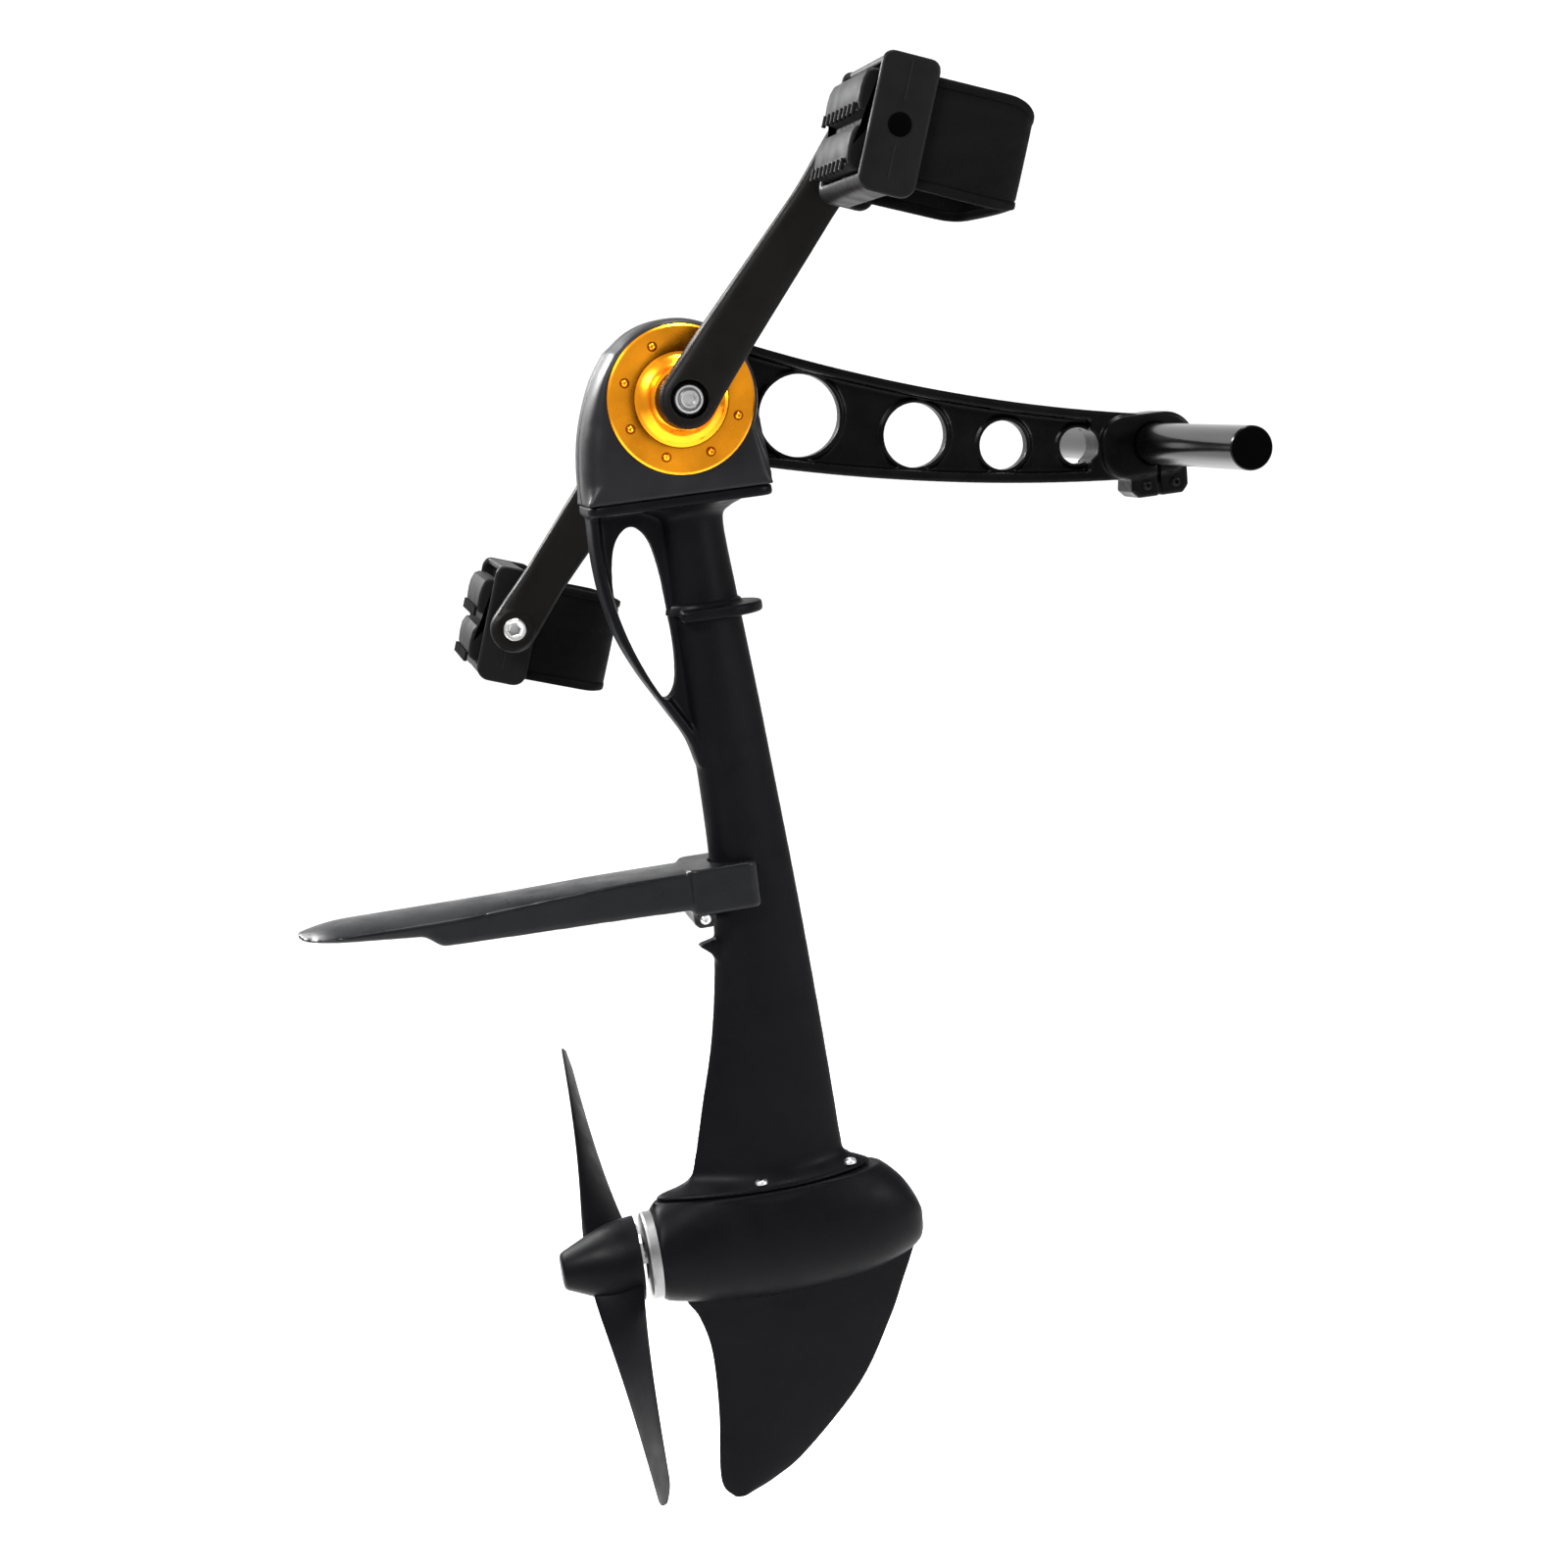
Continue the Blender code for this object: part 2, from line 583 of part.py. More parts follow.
def build_slot_cover(parent, mats):
    stations = [-0.2697, -0.2680, -0.2650, -0.2600, -0.2500, -0.2350, -0.1980, -0.1860, -0.1500, -0.1100,
                -0.0700, -0.0400, -0.0120]
    bm = bmesh.new()
    loft(bm, [cover_section(x) for x in stations])
    plate = add_object("slot_cover_plate", bm, mats["plate"], parent)
    bm = bmesh.new()
    yoke = rounded_box_outline(-0.0320, 0.0110, -0.0262, 0.0262, 0.0060, 2)
    prism_z(bm, yoke, -0.3125, -0.2830)
    boolean(plate, add_object("tool_cover_yoke", bm, None, parent), "UNION")
    bm = bmesh.new()
    tab = [(-0.0320, -0.3100), (-0.0320, -0.3185), (-0.0290, -0.3210), (-0.0200, -0.3210), (-0.0180, -0.3180),
           (-0.0180, -0.3100)]
    prism_y(bm, tab, -0.0220, 0.0220)
    boolean(plate, add_object("tool_cover_tab", bm, None, parent), "UNION")
    bm = bmesh.new()
    sections = [leg_section((-0.2700, -0.0150, 0.0354, 0.0177, 0.15), GAP * 1.5),
                leg_section((-0.3300, -0.0182, 0.0394, 0.0174, 0.30), GAP * 1.5)]
    wide = [[(x * 1.02, y * 1.02, z) for x, y, z in ring] for ring in sections]
    loft(bm, wide)
    boolean(plate, add_object("tool_cover_seat", bm, None, parent))
    bm = bmesh.new()
    for side in (-1, 1):
        cylinder(bm, 0.0017 + GAP, 0.0120, 0.0240, (0, side, 0), (-0.0250, 0, -0.3166), 8)
    boolean(plate, add_object("tool_cover_screw_holes", bm, None, parent), solver="MANIFOLD")
    for side, label in ((-1, "starboard"), (1, "port")):
        bm = bmesh.new()
        screw = [(0.0, 0.0245), (0.0026, 0.0243), (0.0034, 0.0232), (0.0034, 0.0220 + GAP),
                 (0.0017, 0.0220 + GAP), (0.0017, 0.0125), (0.0, 0.0125)]
        turn(bm, screw, (0, side, 0), (-0.0250, 0, -0.3166), 8, closed=False)
        add_object(label + "_cover_screw", bm, mats["steel"], parent)


# ---------------------------------------------------------------- lower gearcase
GEARCASE_STATIONS = [             # x, top, bottom, half width
    (GEARCASE_AFT, -0.5007, -0.5570, 0.0281),
    (-0.0765, -0.4955, -0.5595, 0.0284),
    (-0.0660, -0.4915, -0.5620, 0.0287),
    (-0.0500, -0.4860, -0.5650, 0.0293),
    (-0.0250, -0.4790, -0.5680, 0.0303),
    (0.0050, -0.4770, -0.5692, 0.0308),
    (0.0350, -0.4790, -0.5675, 0.0298),
    (0.0550, -0.4850, -0.5645, 0.0270),
    (0.0700, -0.4945, -0.5605, 0.0228),
    (0.0820, -0.5070, -0.5560, 0.0170),
    (0.0895, -0.5205, -0.5510, 0.0105),
    (0.0925, -0.5310, -0.5450, 0.0045),
]

SKEG_STATIONS = [                 # height, aft edge, fore edge, half thickness
    (-0.5400, -0.0700, 0.0902, 0.0060),
    (-0.5500, -0.0690, 0.0872, 0.0064),
    (-0.5640, -0.0655, 0.0812, 0.0066),
    (-0.5760, -0.0590, 0.0755, 0.0060),
    (-0.6000, -0.0540, 0.0640, 0.0052),
    (-0.6400, -0.0548, 0.0390, 0.0046),
    (-0.6780, -0.0590, -0.0010, 0.0040),
    (-0.6920, -0.0580, -0.0235, 0.0036),
    (-0.6995, -0.0520, -0.0420, 0.0028),
]


def gearcase_section(station, count=20):
    x, top, bottom, half = station
    ring = []
    for i in range(count):
        a = 2 * pi * i / count
        up = sin(a)
        rise = (top - PROP_AXIS_Z) if up > 0 else (PROP_AXIS_Z - bottom)
        power = 0.82 if up > 0 and x > GEARCASE_AFT + 0.001 else 1.0
        y = half * abs(cos(a)) ** power * (1 if cos(a) > 0 else -1)
        ring.append((x, y, PROP_AXIS_Z + rise * (abs(up) ** power) * (1 if up > 0 else -1)))
    return ring


def skeg_section(station, count=14):
    height, aft, fore, half = station
    middle = (aft + fore) / 2
    ring = []
    for i in range(count):
        a = 2 * pi * i / count
        y = half * sin(a) * (1.0 - 0.35 * cos(a) ** 2)
        ring.append((middle + (fore - aft) / 2 * cos(a), y, height))
    return ring


def build_gearcase(parent, mats):
    bm = bmesh.new()
    loft(bm, [gearcase_section(s) for s in GEARCASE_STATIONS])
    case = add_object("lower_gearcase", bm, mats["black_cast"], parent, 50)
    bm = bmesh.new()
    loft(bm, [skeg_section(s) for s in SKEG_STATIONS])
    boolean(case, add_object("tool_skeg", bm, None, parent, 50), "UNION")
    bm = bmesh.new()
    block(bm, (-0.090, -0.040, FOOT_BOTTOM - GAP), (0.090, 0.040, -0.440))
    boolean(case, add_object("tool_gearcase_top", bm, None, parent), solver="MANIFOLD")
    bm = bmesh.new()
    profile = [(GEARCASE_BORE, -0.0900), (0.0, -0.0900), (0.0, 0.0400), (0.0110 + GAP, 0.0400),
               (0.0110 + GAP, 0.0262), (GEARCASE_BORE, 0.0240)]
    turn(bm, profile, (1, 0, 0), (0, 0, PROP_AXIS_Z), 24, closed=True)
    boolean(case, add_object("tool_gearcase_bore", bm, None, parent))
    bm = bmesh.new()
    cylinder(bm, 0.0130 + GAP, -0.5200, -0.4800, (0, 0, 1), (0, 0, 0), 20)
    boolean(case, add_object("tool_gearcase_neck", bm, None, parent))
    bm = bmesh.new()
    for x, y in gearcase_screw_places():
        cylinder(bm, 0.0017 + GAP, -0.5035, -0.4800, (0, 0, 1), (x, y, 0), 8)
    boolean(case, add_object("tool_gearcase_screw_holes", bm, None, parent))
    for i, (x, y) in enumerate(gearcase_screw_places()):
        bm = bmesh.new()
        screw = [(0.0, -0.4872), (0.0030, -0.4872), (0.0030, -0.4890), (0.0017, -0.4890), (0.0017, -0.5030),
                 (0.0, -0.5030)]
        turn(bm, screw, (0, 0, 1), (x, y, 0), 8, closed=False)
        add_object("gearcase_screw_%d" % (i + 1), bm, mats["steel"], parent)

    centre = (0, 0, PROP_AXIS_Z)
    bm = bmesh.new()
    profile = [(0.0265, -0.0880), (0.0279, -0.0868), (0.0279, GEARCASE_AFT - GAP),
               (GEARCASE_BORE - GAP, GEARCASE_AFT - GAP), (GEARCASE_BORE - GAP, -0.0520), (0.0170, -0.0520),
               (0.0170, -0.0650), (0.0100, -0.0650), (0.0100, -0.0860), (0.0180, -0.0880)]
    turn(bm, profile, (1, 0, 0), centre, 24)
    add_object("propeller_bearing_carrier", bm, mats["steel"], parent)
    ring_piece("propeller_bearing", PROP_SHAFT_RADIUS + GAP, 0.0167, -0.0640, -0.0525, (1, 0, 0), centre,
               20, mats["bearing"], parent)
    ring_piece("propeller_shaft_seal", PROP_SHAFT_RADIUS + GAP, 0.0097, -0.0840, -0.0670, (1, 0, 0), centre,
               16, mats["rubber"], parent)
    ring_piece("forward_bearing", PINION_SEAT_RADIUS + GAP, 0.0110, 0.0290, 0.0385, (1, 0, 0), centre, 16,
               mats["bearing"], parent)


# ---------------------------------------------------------------- vertical drive shaft
def build_drive_shaft(parent, frame, mats):
    # the shaft steps down inside the pinion, so its tooth roots keep a wall round the bore
    bm = bmesh.new()
    profile = [(0.0, -0.5125), (SHAFT_RADIUS, -0.5125), (SHAFT_RADIUS, -0.0433),
               (PINION_SEAT_RADIUS, -0.0433), (PINION_SEAT_RADIUS, -0.0275), (0.0, -0.0275)]
    turn(bm, profile, (0, 0, 1), (0, 0, 0), 12, closed=False)
    add_object("drive_shaft", bm, mats["steel"], parent)
    seat = PINION_SEAT_RADIUS + GAP
    bevel_gear("upper_pinion", UPPER_PINION_TEETH, CROWN_TEETH, UPPER_MODULE, 0.0080,
               [(0.0080, 0.0375), (0.0080, 0.0430), (seat, 0.0430)], seat, 0.5,
               (0, 0, -1), (0, 1, 0), (0, 0, 0), mats["gear"], parent)
    bevel_gear("lower_bevel_gear", LOWER_GEAR_TEETH, LOWER_PINION_TEETH, LOWER_MODULE, 0.0060,
               [(0.0150, 0.0125), (0.0095, 0.0125), (0.0095, 0.0170), (SHAFT_RADIUS + GAP, 0.0170)],
               SHAFT_RADIUS + GAP, 0.0, (0, 0, 1), (-1, 0, 0), (0, 0, PROP_AXIS_Z), mats["gear"], parent)
    ring_piece("upper_shaft_bearing", SHAFT_RADIUS + GAP, BEARING_SEAT, -0.0545, -0.0445, (0, 0, 1),
               (0, 0, 0), 20, mats["bearing"], frame)
    ring_piece("shaft_guide_bush", SHAFT_RADIUS + GAP, LEG_BORE - GAP, -0.2850, -0.2650, (0, 0, 1), (0, 0, 0),
               16, mats["bush"], frame)
    ring_piece("lower_shaft_bearing", SHAFT_RADIUS + GAP, 0.0130, -0.4930, -0.4835, (0, 0, 1), (0, 0, 0), 20,
               mats["bearing"], frame)
    ring_piece("lower_shaft_seal", SHAFT_RADIUS + GAP, 0.0130, -0.5000, -0.4943, (0, 0, 1), (0, 0, 0), 20,
               mats["rubber"], frame)


# ---------------------------------------------------------------- crankset
def crank_ring(z, half_width, middle, half_thick, side):
    """One eight-sided slice of a crank arm, its corners broken."""
    slice_points = [(1.0, -0.50), (1.0, 0.50), (0.72, 1.0), (-0.72, 1.0), (-1.0, 0.50), (-1.0, -0.50),
                    (-0.72, -1.0), (0.72, -1.0)]
    return [(half_width * u, side * (middle + half_thick * v), z) for u, v in slice_points]


def build_crank(side, label, parent, mats):
    hub_middle = (CRANK_HUB_IN + CRANK_HUB_OUT) / 2
    hub_half = (CRANK_HUB_OUT - CRANK_HUB_IN) / 2
    eye_middle = (CRANK_EYE_IN + CRANK_EYE_OUT) / 2
    eye_half = (CRANK_EYE_OUT - CRANK_EYE_IN) / 2
    hub_radius = 0.0175
    eye_radius = 0.0150
    rings = []
    for degrees in (78, 55, 30, 0):
        a = radians(degrees)
        rings.append(crank_ring(-hub_radius * sin(a), hub_radius * cos(a), hub_middle, hub_half, side))
    steps = 7
    for i in range(1, steps):
        t = i / steps
        half_width = 0.0168 - 0.0045 * t
        flare = ease(t)
        middle = hub_middle + (eye_middle - hub_middle) * flare
        half_thick = hub_half + (eye_half - hub_half) * flare - 0.0012 * sin(pi * t)
        rings.append(crank_ring(0.010 + (CRANK_LENGTH - 0.022) * t, half_width, middle, half_thick, side))
    for degrees in (-25, 0, 30, 55, 78):
        a = radians(degrees)
        rings.append(crank_ring(CRANK_LENGTH + eye_radius * sin(a), eye_radius * cos(a), eye_middle,
                                eye_half, side))
    angle = CRANK_ANGLE if side < 0 else CRANK_ANGLE + pi
    bm = bmesh.new()
    loft(bm, rings)
    crank = add_object(label + "_crank", bm, mats["crank"], parent, 25)
    crank.rotation_euler = (0, angle, 0)
    bm = bmesh.new()
    cylinder(bm, AXLE_RADIUS + GAP, 0.030, 0.080, (0, side, 0), (0, 0, 0), 20)
    cylinder(bm, 0.0075, 0.050, 0.110, (0, side, 0), (0, 0, CRANK_LENGTH), 16)
    tool = add_object("tool_crank_bores_" + label, bm, None, parent)
    tool.rotation_euler = (0, angle, 0)
    boolean(crank, tool)
    bm = bmesh.new()
    cylinder(bm, 0.0112, 0.0540, 0.080, (0, side, 0), (0, 0, 0), 24)
    boolean(crank, add_object("tool_crank_recess_" + label, bm, None, parent))

    bm = bmesh.new()
    bolt = [(0.0, 0.0588), (0.0035, 0.0588), (0.0040, 0.0605), (0.0062, 0.0610),
            (0.0098, 0.0592), (0.0102, 0.0582), (0.0102, 0.0543), (0.0040, 0.0543), (0.0040, 0.0420),
            (0.0, 0.0420)]
    turn(bm, bolt, (0, side, 0), (0, 0, 0), 16, closed=False)
    add_object(label + "_crank_bolt", bm, mats["steel"], parent)

    eye = Vector((sin(angle), 0, cos(angle))) * CRANK_LENGTH
    bm = bmesh.new()
    spindle = [(0.0, CRANK_EYE_IN - 0.0010), (0.0068, CRANK_EYE_IN - 0.0010), (0.0072, CRANK_EYE_IN - 0.0004),
               (0.0072, CRANK_EYE_OUT + GAP), (0.0092, CRANK_EYE_OUT + GAP), (0.0092, SPINDLE_SHOULDER),
               (SHAFT_RADIUS, SPINDLE_SHOULDER), (SHAFT_RADIUS, SPINDLE_END), (0.0, SPINDLE_END)]
    turn(bm, spindle, (0, side, 0), eye, 12, closed=False)
    piece = add_object(label + "_pedal_spindle", bm, mats["steel"], parent)
    bm = bmesh.new()
    cylinder(bm, 0.0036, CRANK_EYE_IN - 0.0130, CRANK_EYE_IN + 0.0060, (0, side, 0), eye, 6)
    socket = add_object("tool_spindle_socket_" + label, bm, None, parent)
    boolean(piece, socket, solver="MANIFOLD")


def build_crankset(parent, mats):
    bm = bmesh.new()
    cylinder(bm, AXLE_RADIUS, -0.0535, 0.0535, (0, 1, 0), (0, 0, 0), 20)
    axle = add_object("crank_axle", bm, mats["steel"], parent)
    bm = bmesh.new()
    cylinder(bm, 0.0040 + GAP, 0.0410, 0.0600, (0, 1, 0), (0, 0, 0), 16)
    cylinder(bm, 0.0040 + GAP, -0.0600, -0.0410, (0, 1, 0), (0, 0, 0), 16)
    boolean(axle, add_object("tool_axle_threads", bm, None, parent))
    bevel_gear("crown_gear", CROWN_TEETH, UPPER_PINION_TEETH, UPPER_MODULE, 0.0080,
               [(0.0320, 0.0130), (0.0150, 0.0130), (0.0150, 0.0195), (AXLE_RADIUS + GAP, 0.0195)],
               AXLE_RADIUS + GAP, 0.0, (0, 1, 0), (0, 0, -1), (0, 0, 0), mats["gear"], parent)
    for side, label in ((-1, "starboard"), (1, "port")):
        build_crank(side, label, parent, mats)


# ---------------------------------------------------------------- pedals
PEDAL_IN = 0.0960                 # distances from the centre plane
PEDAL_OUT = 0.1970
PEDAL_PLATE = 0.0042
PEDAL_HALF_DEPTH = 0.0162
PEDAL_HALF_HEIGHT = 0.0372
STRAP_REACH_IN = 0.0690           # the strap reaches further forward on its outboard side
STRAP_REACH_OUT = 0.0765
STRAP_HALF_HEIGHT = 0.0325
STRAP_THICK = 0.0030


def strap_outline(side):
    """The toe strap seen from above the pedal: out from one end plate, across, and back."""
    corner = 0.0150
    near = PEDAL_IN + PEDAL_PLATE + GAP
    far = PEDAL_OUT - PEDAL_PLATE - GAP
    outer = [(0.0040, far)] + arc((STRAP_REACH_OUT - corner, far - corner), corner, 90, 0, 4)
    outer += arc((STRAP_REACH_IN - corner, near + corner), corner, 0, -90, 4) + [(0.0040, near)]
    inner_corner = corner - STRAP_THICK
    inner = [(0.0040, near + STRAP_THICK)]
    inner += arc((STRAP_REACH_IN - corner, near + corner), inner_corner, -90, 0, 4)
    inner += arc((STRAP_REACH_OUT - corner, far - corner), inner_corner, 0, 90, 4)
    inner += [(0.0040, far - STRAP_THICK)]
    return [(x, side * y) for x, y in outer + inner]


def build_pedal(side, label, parent, mats):
    def span(a, b):
        return sorted((side * a, side * b))

    bm = bmesh.new()
    barrel = [(0.0, PEDAL_IN + 0.001), (0.0125, PEDAL_IN + 0.001), (0.0125, PEDAL_OUT - 0.001),
              (0.0, PEDAL_OUT - 0.001)]
    turn(bm, barrel, (0, side, 0), (0, 0, 0), 16, closed=False)
    body = add_object(label + "_pedal_body", bm, mats["pedal"], parent)
    plate = rounded_box_outline(-PEDAL_HALF_DEPTH, PEDAL_HALF_DEPTH, -PEDAL_HALF_HEIGHT, PEDAL_HALF_HEIGHT,
                                0.0060, 3)
    spans = ((PEDAL_IN, PEDAL_IN + PEDAL_PLATE), (PEDAL_OUT - PEDAL_PLATE, PEDAL_OUT))
    for i, (a, b) in enumerate(spans):
        bm = bmesh.new()
        low, high = span(a, b)
        prism_y(bm, plate, low, high)
        boolean(body, add_object("tool_pedal_plate_%s_%d" % (label, i), bm, None, parent), "UNION")
    low, high = span(PEDAL_IN + 0.001, PEDAL_OUT - 0.001)
    for i, sign in enumerate((-1, 1)):
        bm = bmesh.new()
        zs = sorted((sign * (PEDAL_HALF_HEIGHT - 0.0048), sign * (PEDAL_HALF_HEIGHT - 0.0005)))
        block(bm, (-0.0105, low, zs[0]), (0.0030, high, zs[1]))
        boolean(body, add_object("tool_pedal_rail_%s_%d" % (label, i), bm, None, parent), "UNION")
    bm = bmesh.new()
    block(bm, (-0.0060, low, -0.0350), (-0.0020, high, 0.0350))
    boolean(body, add_object("tool_pedal_web_" + label, bm, None, parent), "UNION")
    bm = bmesh.new()
    step = [(0.0, PEDAL_IN - 0.005), (0.0098, PEDAL_IN - 0.005), (0.0098, PEDAL_OUT - 0.0040),
            (0.0068, PEDAL_OUT - 0.0040), (0.0068, PEDAL_OUT + 0.005), (0.0, PEDAL_OUT + 0.005)]
    turn(bm, step, (0, side, 0), (0, 0, 0), 16, closed=False)
    boolean(body, add_object("tool_pedal_bore_" + label, bm, None, parent))

    margin = PEDAL_PLATE + STRAP_THICK + 3 * GAP
    low, high = span(PEDAL_IN + margin, PEDAL_OUT - margin)
    for face, where, crown in ((-1, "aft", 0.0232), (1, "fore", 0.0198)):
        base = 0.0130
        floor = 0.0150
        pad = [(base, -0.0270), (crown - 0.004, -0.0270), (crown, -0.0225), (crown, -0.0060),
               (crown - 0.003, -0.0025), (floor, -0.0025), (floor, 0.0025), (crown - 0.003, 0.0025),
               (crown, 0.0060), (crown, 0.0225), (crown - 0.004, 0.0270), (base, 0.0270)]
        bm = bmesh.new()
        prism_y(bm, [(face * x, z) for x, z in pad], low, high)
        add_object("%s_pedal_tread_%s" % (label, where), bm, mats["rubber"], parent)
    ring_piece(label + "_pedal_bush", SHAFT_RADIUS + GAP, 0.0095, PEDAL_IN + 0.0008, PEDAL_OUT - 0.0075,
               (0, side, 0), (0, 0, 0), 12, mats["bush"], parent)
    bm = bmesh.new()
    cap = [(0.0, PEDAL_OUT + 0.0012), (0.0058, PEDAL_OUT + 0.0012), (0.0065, PEDAL_OUT + 0.0004),
           (0.0065, PEDAL_OUT - 0.0034), (0.0, PEDAL_OUT - 0.0034)]
    turn(bm, cap, (0, side, 0), (0, 0, 0), 12, closed=False)
    add_object(label + "_pedal_dust_cap", bm, mats["rubber"], parent)
    bm = bmesh.new()
    prism_z(bm, strap_outline(side), -STRAP_HALF_HEIGHT, STRAP_HALF_HEIGHT)
    strap = add_object(label + "_toe_strap", bm, mats["strap"], parent)
    boolean(strap, cylinder_tool("strap_eyes_" + label, 0.0125 + GAP, PEDAL_IN - 0.010, PEDAL_OUT + 0.010,
                                 (0, side, 0), (0, 0, 0), 16, parent))


# ---------------------------------------------------------------- propeller
def blade_section(radius, sign):
    """A thin aerofoil slice at one radius, pitched like a screw thread."""
    t = (radius - 0.020) / (PROP_RADIUS - 0.020)
    chord = 0.0335 + 0.0060 * t - 0.0155 * t * t
    if t > 0.93:
        chord *= sqrt(max(0.08, 1 - ((t - 0.93) / 0.07) ** 2 * 0.92))
    thick = 0.0042 * (1 - t) + 0.0016
    pitch = atan2(PROP_PITCH, 2 * pi * radius)
    points = []
    for u, v in ((0.5, 0.0), (0.28, 0.42), (-0.08, 0.55), (-0.40, 0.30), (-0.5, 0.0), (-0.40, -0.14),
                 (-0.08, -0.20), (0.28, -0.16)):
        along = u * chord
        across = v * thick
        x = along * sin(pitch) + across * cos(pitch)
        y = along * cos(pitch) - across * sin(pitch)
        points.append(Vector((x, sign * y, sign * radius)))
    return points


def build_propeller(parent, mats):
    bm = bmesh.new()
    hub = [(0.0, -0.0325), (0.0105, -0.0325), (0.0124, -0.0305), (0.0200, -0.0130), (0.0245, 0.0000),
           (0.0268, 0.0165), (0.0, 0.0165)]
    turn(bm, hub, (1, 0, 0), (0, 0, 0), 28, closed=False)
    prop = add_object("propeller", bm, mats["black_cast"], parent, 40)
    for i, sign in enumerate((1, -1)):
        bm = bmesh.new()
        radii = [0.0080, 0.0300, 0.0480, 0.0680, 0.0900, 0.1120, 0.1320, 0.1500, 0.1600, 0.1655,
                 PROP_RADIUS]
        loft(bm, [blade_section(r, sign) for r in radii])
        blade = add_object("tool_blade_%d" % i, bm, None, parent, 40)
        boolean(prop, blade, "UNION")
    bm = bmesh.new()
    cylinder(bm, PROP_SHAFT_RADIUS + GAP, -0.0220, 0.0300, (1, 0, 0), (0, 0, 0), 16)
    boolean(prop, add_object("tool_prop_bore", bm, None, parent))
    bm = bmesh.new()
    block(bm, (0.0100, -0.0023, -0.0150), (0.0300, 0.0023, 0.0150))
    boolean(prop, add_object("tool_prop_slot", bm, None, parent))

    bm = bmesh.new()
    turn(bm, [(0.0, -0.0210), (PROP_SHAFT_RADIUS, -0.0210), (PROP_SHAFT_RADIUS, 0.0807),
              (PINION_SEAT_RADIUS, 0.0807), (PINION_SEAT_RADIUS, 0.1480), (0.0, 0.1480)],
         (1, 0, 0), (0, 0, 0), 16, closed=False)
    shaft = add_object("propeller_shaft", bm, mats["steel"], parent)
    bm = bmesh.new()
    cylinder(bm, 0.0020 + GAP, -0.0200, 0.0200, (0, 0, 1), (0.0130, 0, 0), 10)
    boolean(shaft, add_object("tool_pin_hole", bm, None, parent))
    bm = bmesh.new()
    cylinder(bm, 0.0020, -0.0140, 0.0140, (0, 0, 1), (0.0130, 0, 0), 10)
    add_object("propeller_drive_pin", bm, mats["steel"], parent)
    ring_piece("propeller_thrust_washer", PROP_SHAFT_RADIUS + GAP, 0.0210, 0.0168, 0.0186, (1, 0, 0),
               (0, 0, 0), 20, mats["steel"], parent)
    seat = PINION_SEAT_RADIUS + GAP
    bevel_gear("propeller_pinion", LOWER_PINION_TEETH, LOWER_GEAR_TEETH, LOWER_MODULE, 0.0060,
               [(0.0072, 0.0215), (0.0072, 0.0280), (seat, 0.0280)],
               seat, 0.5, (-1, 0, 0), (0, -sin(PROP_ANGLE), cos(PROP_ANGLE)), (-PROP_X, 0, 0),
               mats["gear"], parent)


# ---------------------------------------------------------------- assembly
def build():
    clear_scene()
    mats = {
        "black_cast": material("black_cast", (0.012, 0.012, 0.014), 0.55, 0.0),
        "black_gloss": material("black_gloss", (0.010, 0.010, 0.012), 0.35, 0.0),
        "tube": material("tube_black", (0.012, 0.012, 0.014), 0.16, 0.6),
        "gold": material("gold_anodised", (0.86, 0.34, 0.01), 0.28, 1.0),
        "crank": material("crank_grey", (0.035, 0.033, 0.032), 0.50, 0.6),
        "steel": material("stainless_steel", (0.62, 0.62, 0.62), 0.28, 1.0),
        "gear": material("gear_steel", (0.36, 0.35, 0.34), 0.38, 1.0),
        "bearing": material("bearing_steel", (0.52, 0.52, 0.54), 0.22, 1.0),
        "bush": material("bush_nylon", (0.75, 0.74, 0.70), 0.55, 0.0),
        "rubber": material("black_rubber", (0.016, 0.016, 0.018), 0.80, 0.0),
        "pedal": material("pedal_resin", (0.022, 0.022, 0.024), 0.60, 0.0),
        "strap": material("strap_rubber", (0.018, 0.018, 0.018), 0.75, 0.0),
        "plate": material("plate_plastic", (0.026, 0.027, 0.030), 0.45, 0.0),
    }
    frame = empty("frame", (-TUBE_X, 0, -TUBE_Z))
    crank_axis = empty("crank_axis", (0, 0, 0), frame)
    shaft_axis = empty("drive_shaft_axis", (0, 0, 0), frame)
    prop_axis = empty("propeller_axis", (PROP_X, 0, PROP_AXIS_Z), frame)
    prop_axis.rotation_euler = (-PROP_ANGLE, 0, 0)
    build_head(frame, mats)
    build_arm(frame, mats)
    build_tube(frame, mats)
    build_leg(frame, mats)
    build_slot_cover(frame, mats)
    build_gearcase(frame, mats)
    build_crankset(crank_axis, mats)
    build_drive_shaft(shaft_axis, frame, mats)
    build_propeller(prop_axis, mats)
    for side, label in ((-1, "starboard"), (1, "port")):
        angle = CRANK_ANGLE if side < 0 else CRANK_ANGLE + pi
        place = (CRANK_LENGTH * sin(angle), 0, CRANK_LENGTH * cos(angle))
        pedal_axis = empty(label + "_pedal_axis", place, crank_axis, PEDAL_LEAN)
        build_pedal(side, label, pedal_axis, mats)


build()
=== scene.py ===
"""Looks of a kayak pedal drive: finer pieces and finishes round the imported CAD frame."""

import json
from math import atan2, copysign, cos, pi, radians, sin, sqrt

import bmesh
import bpy
from mathutils import Matrix, Vector


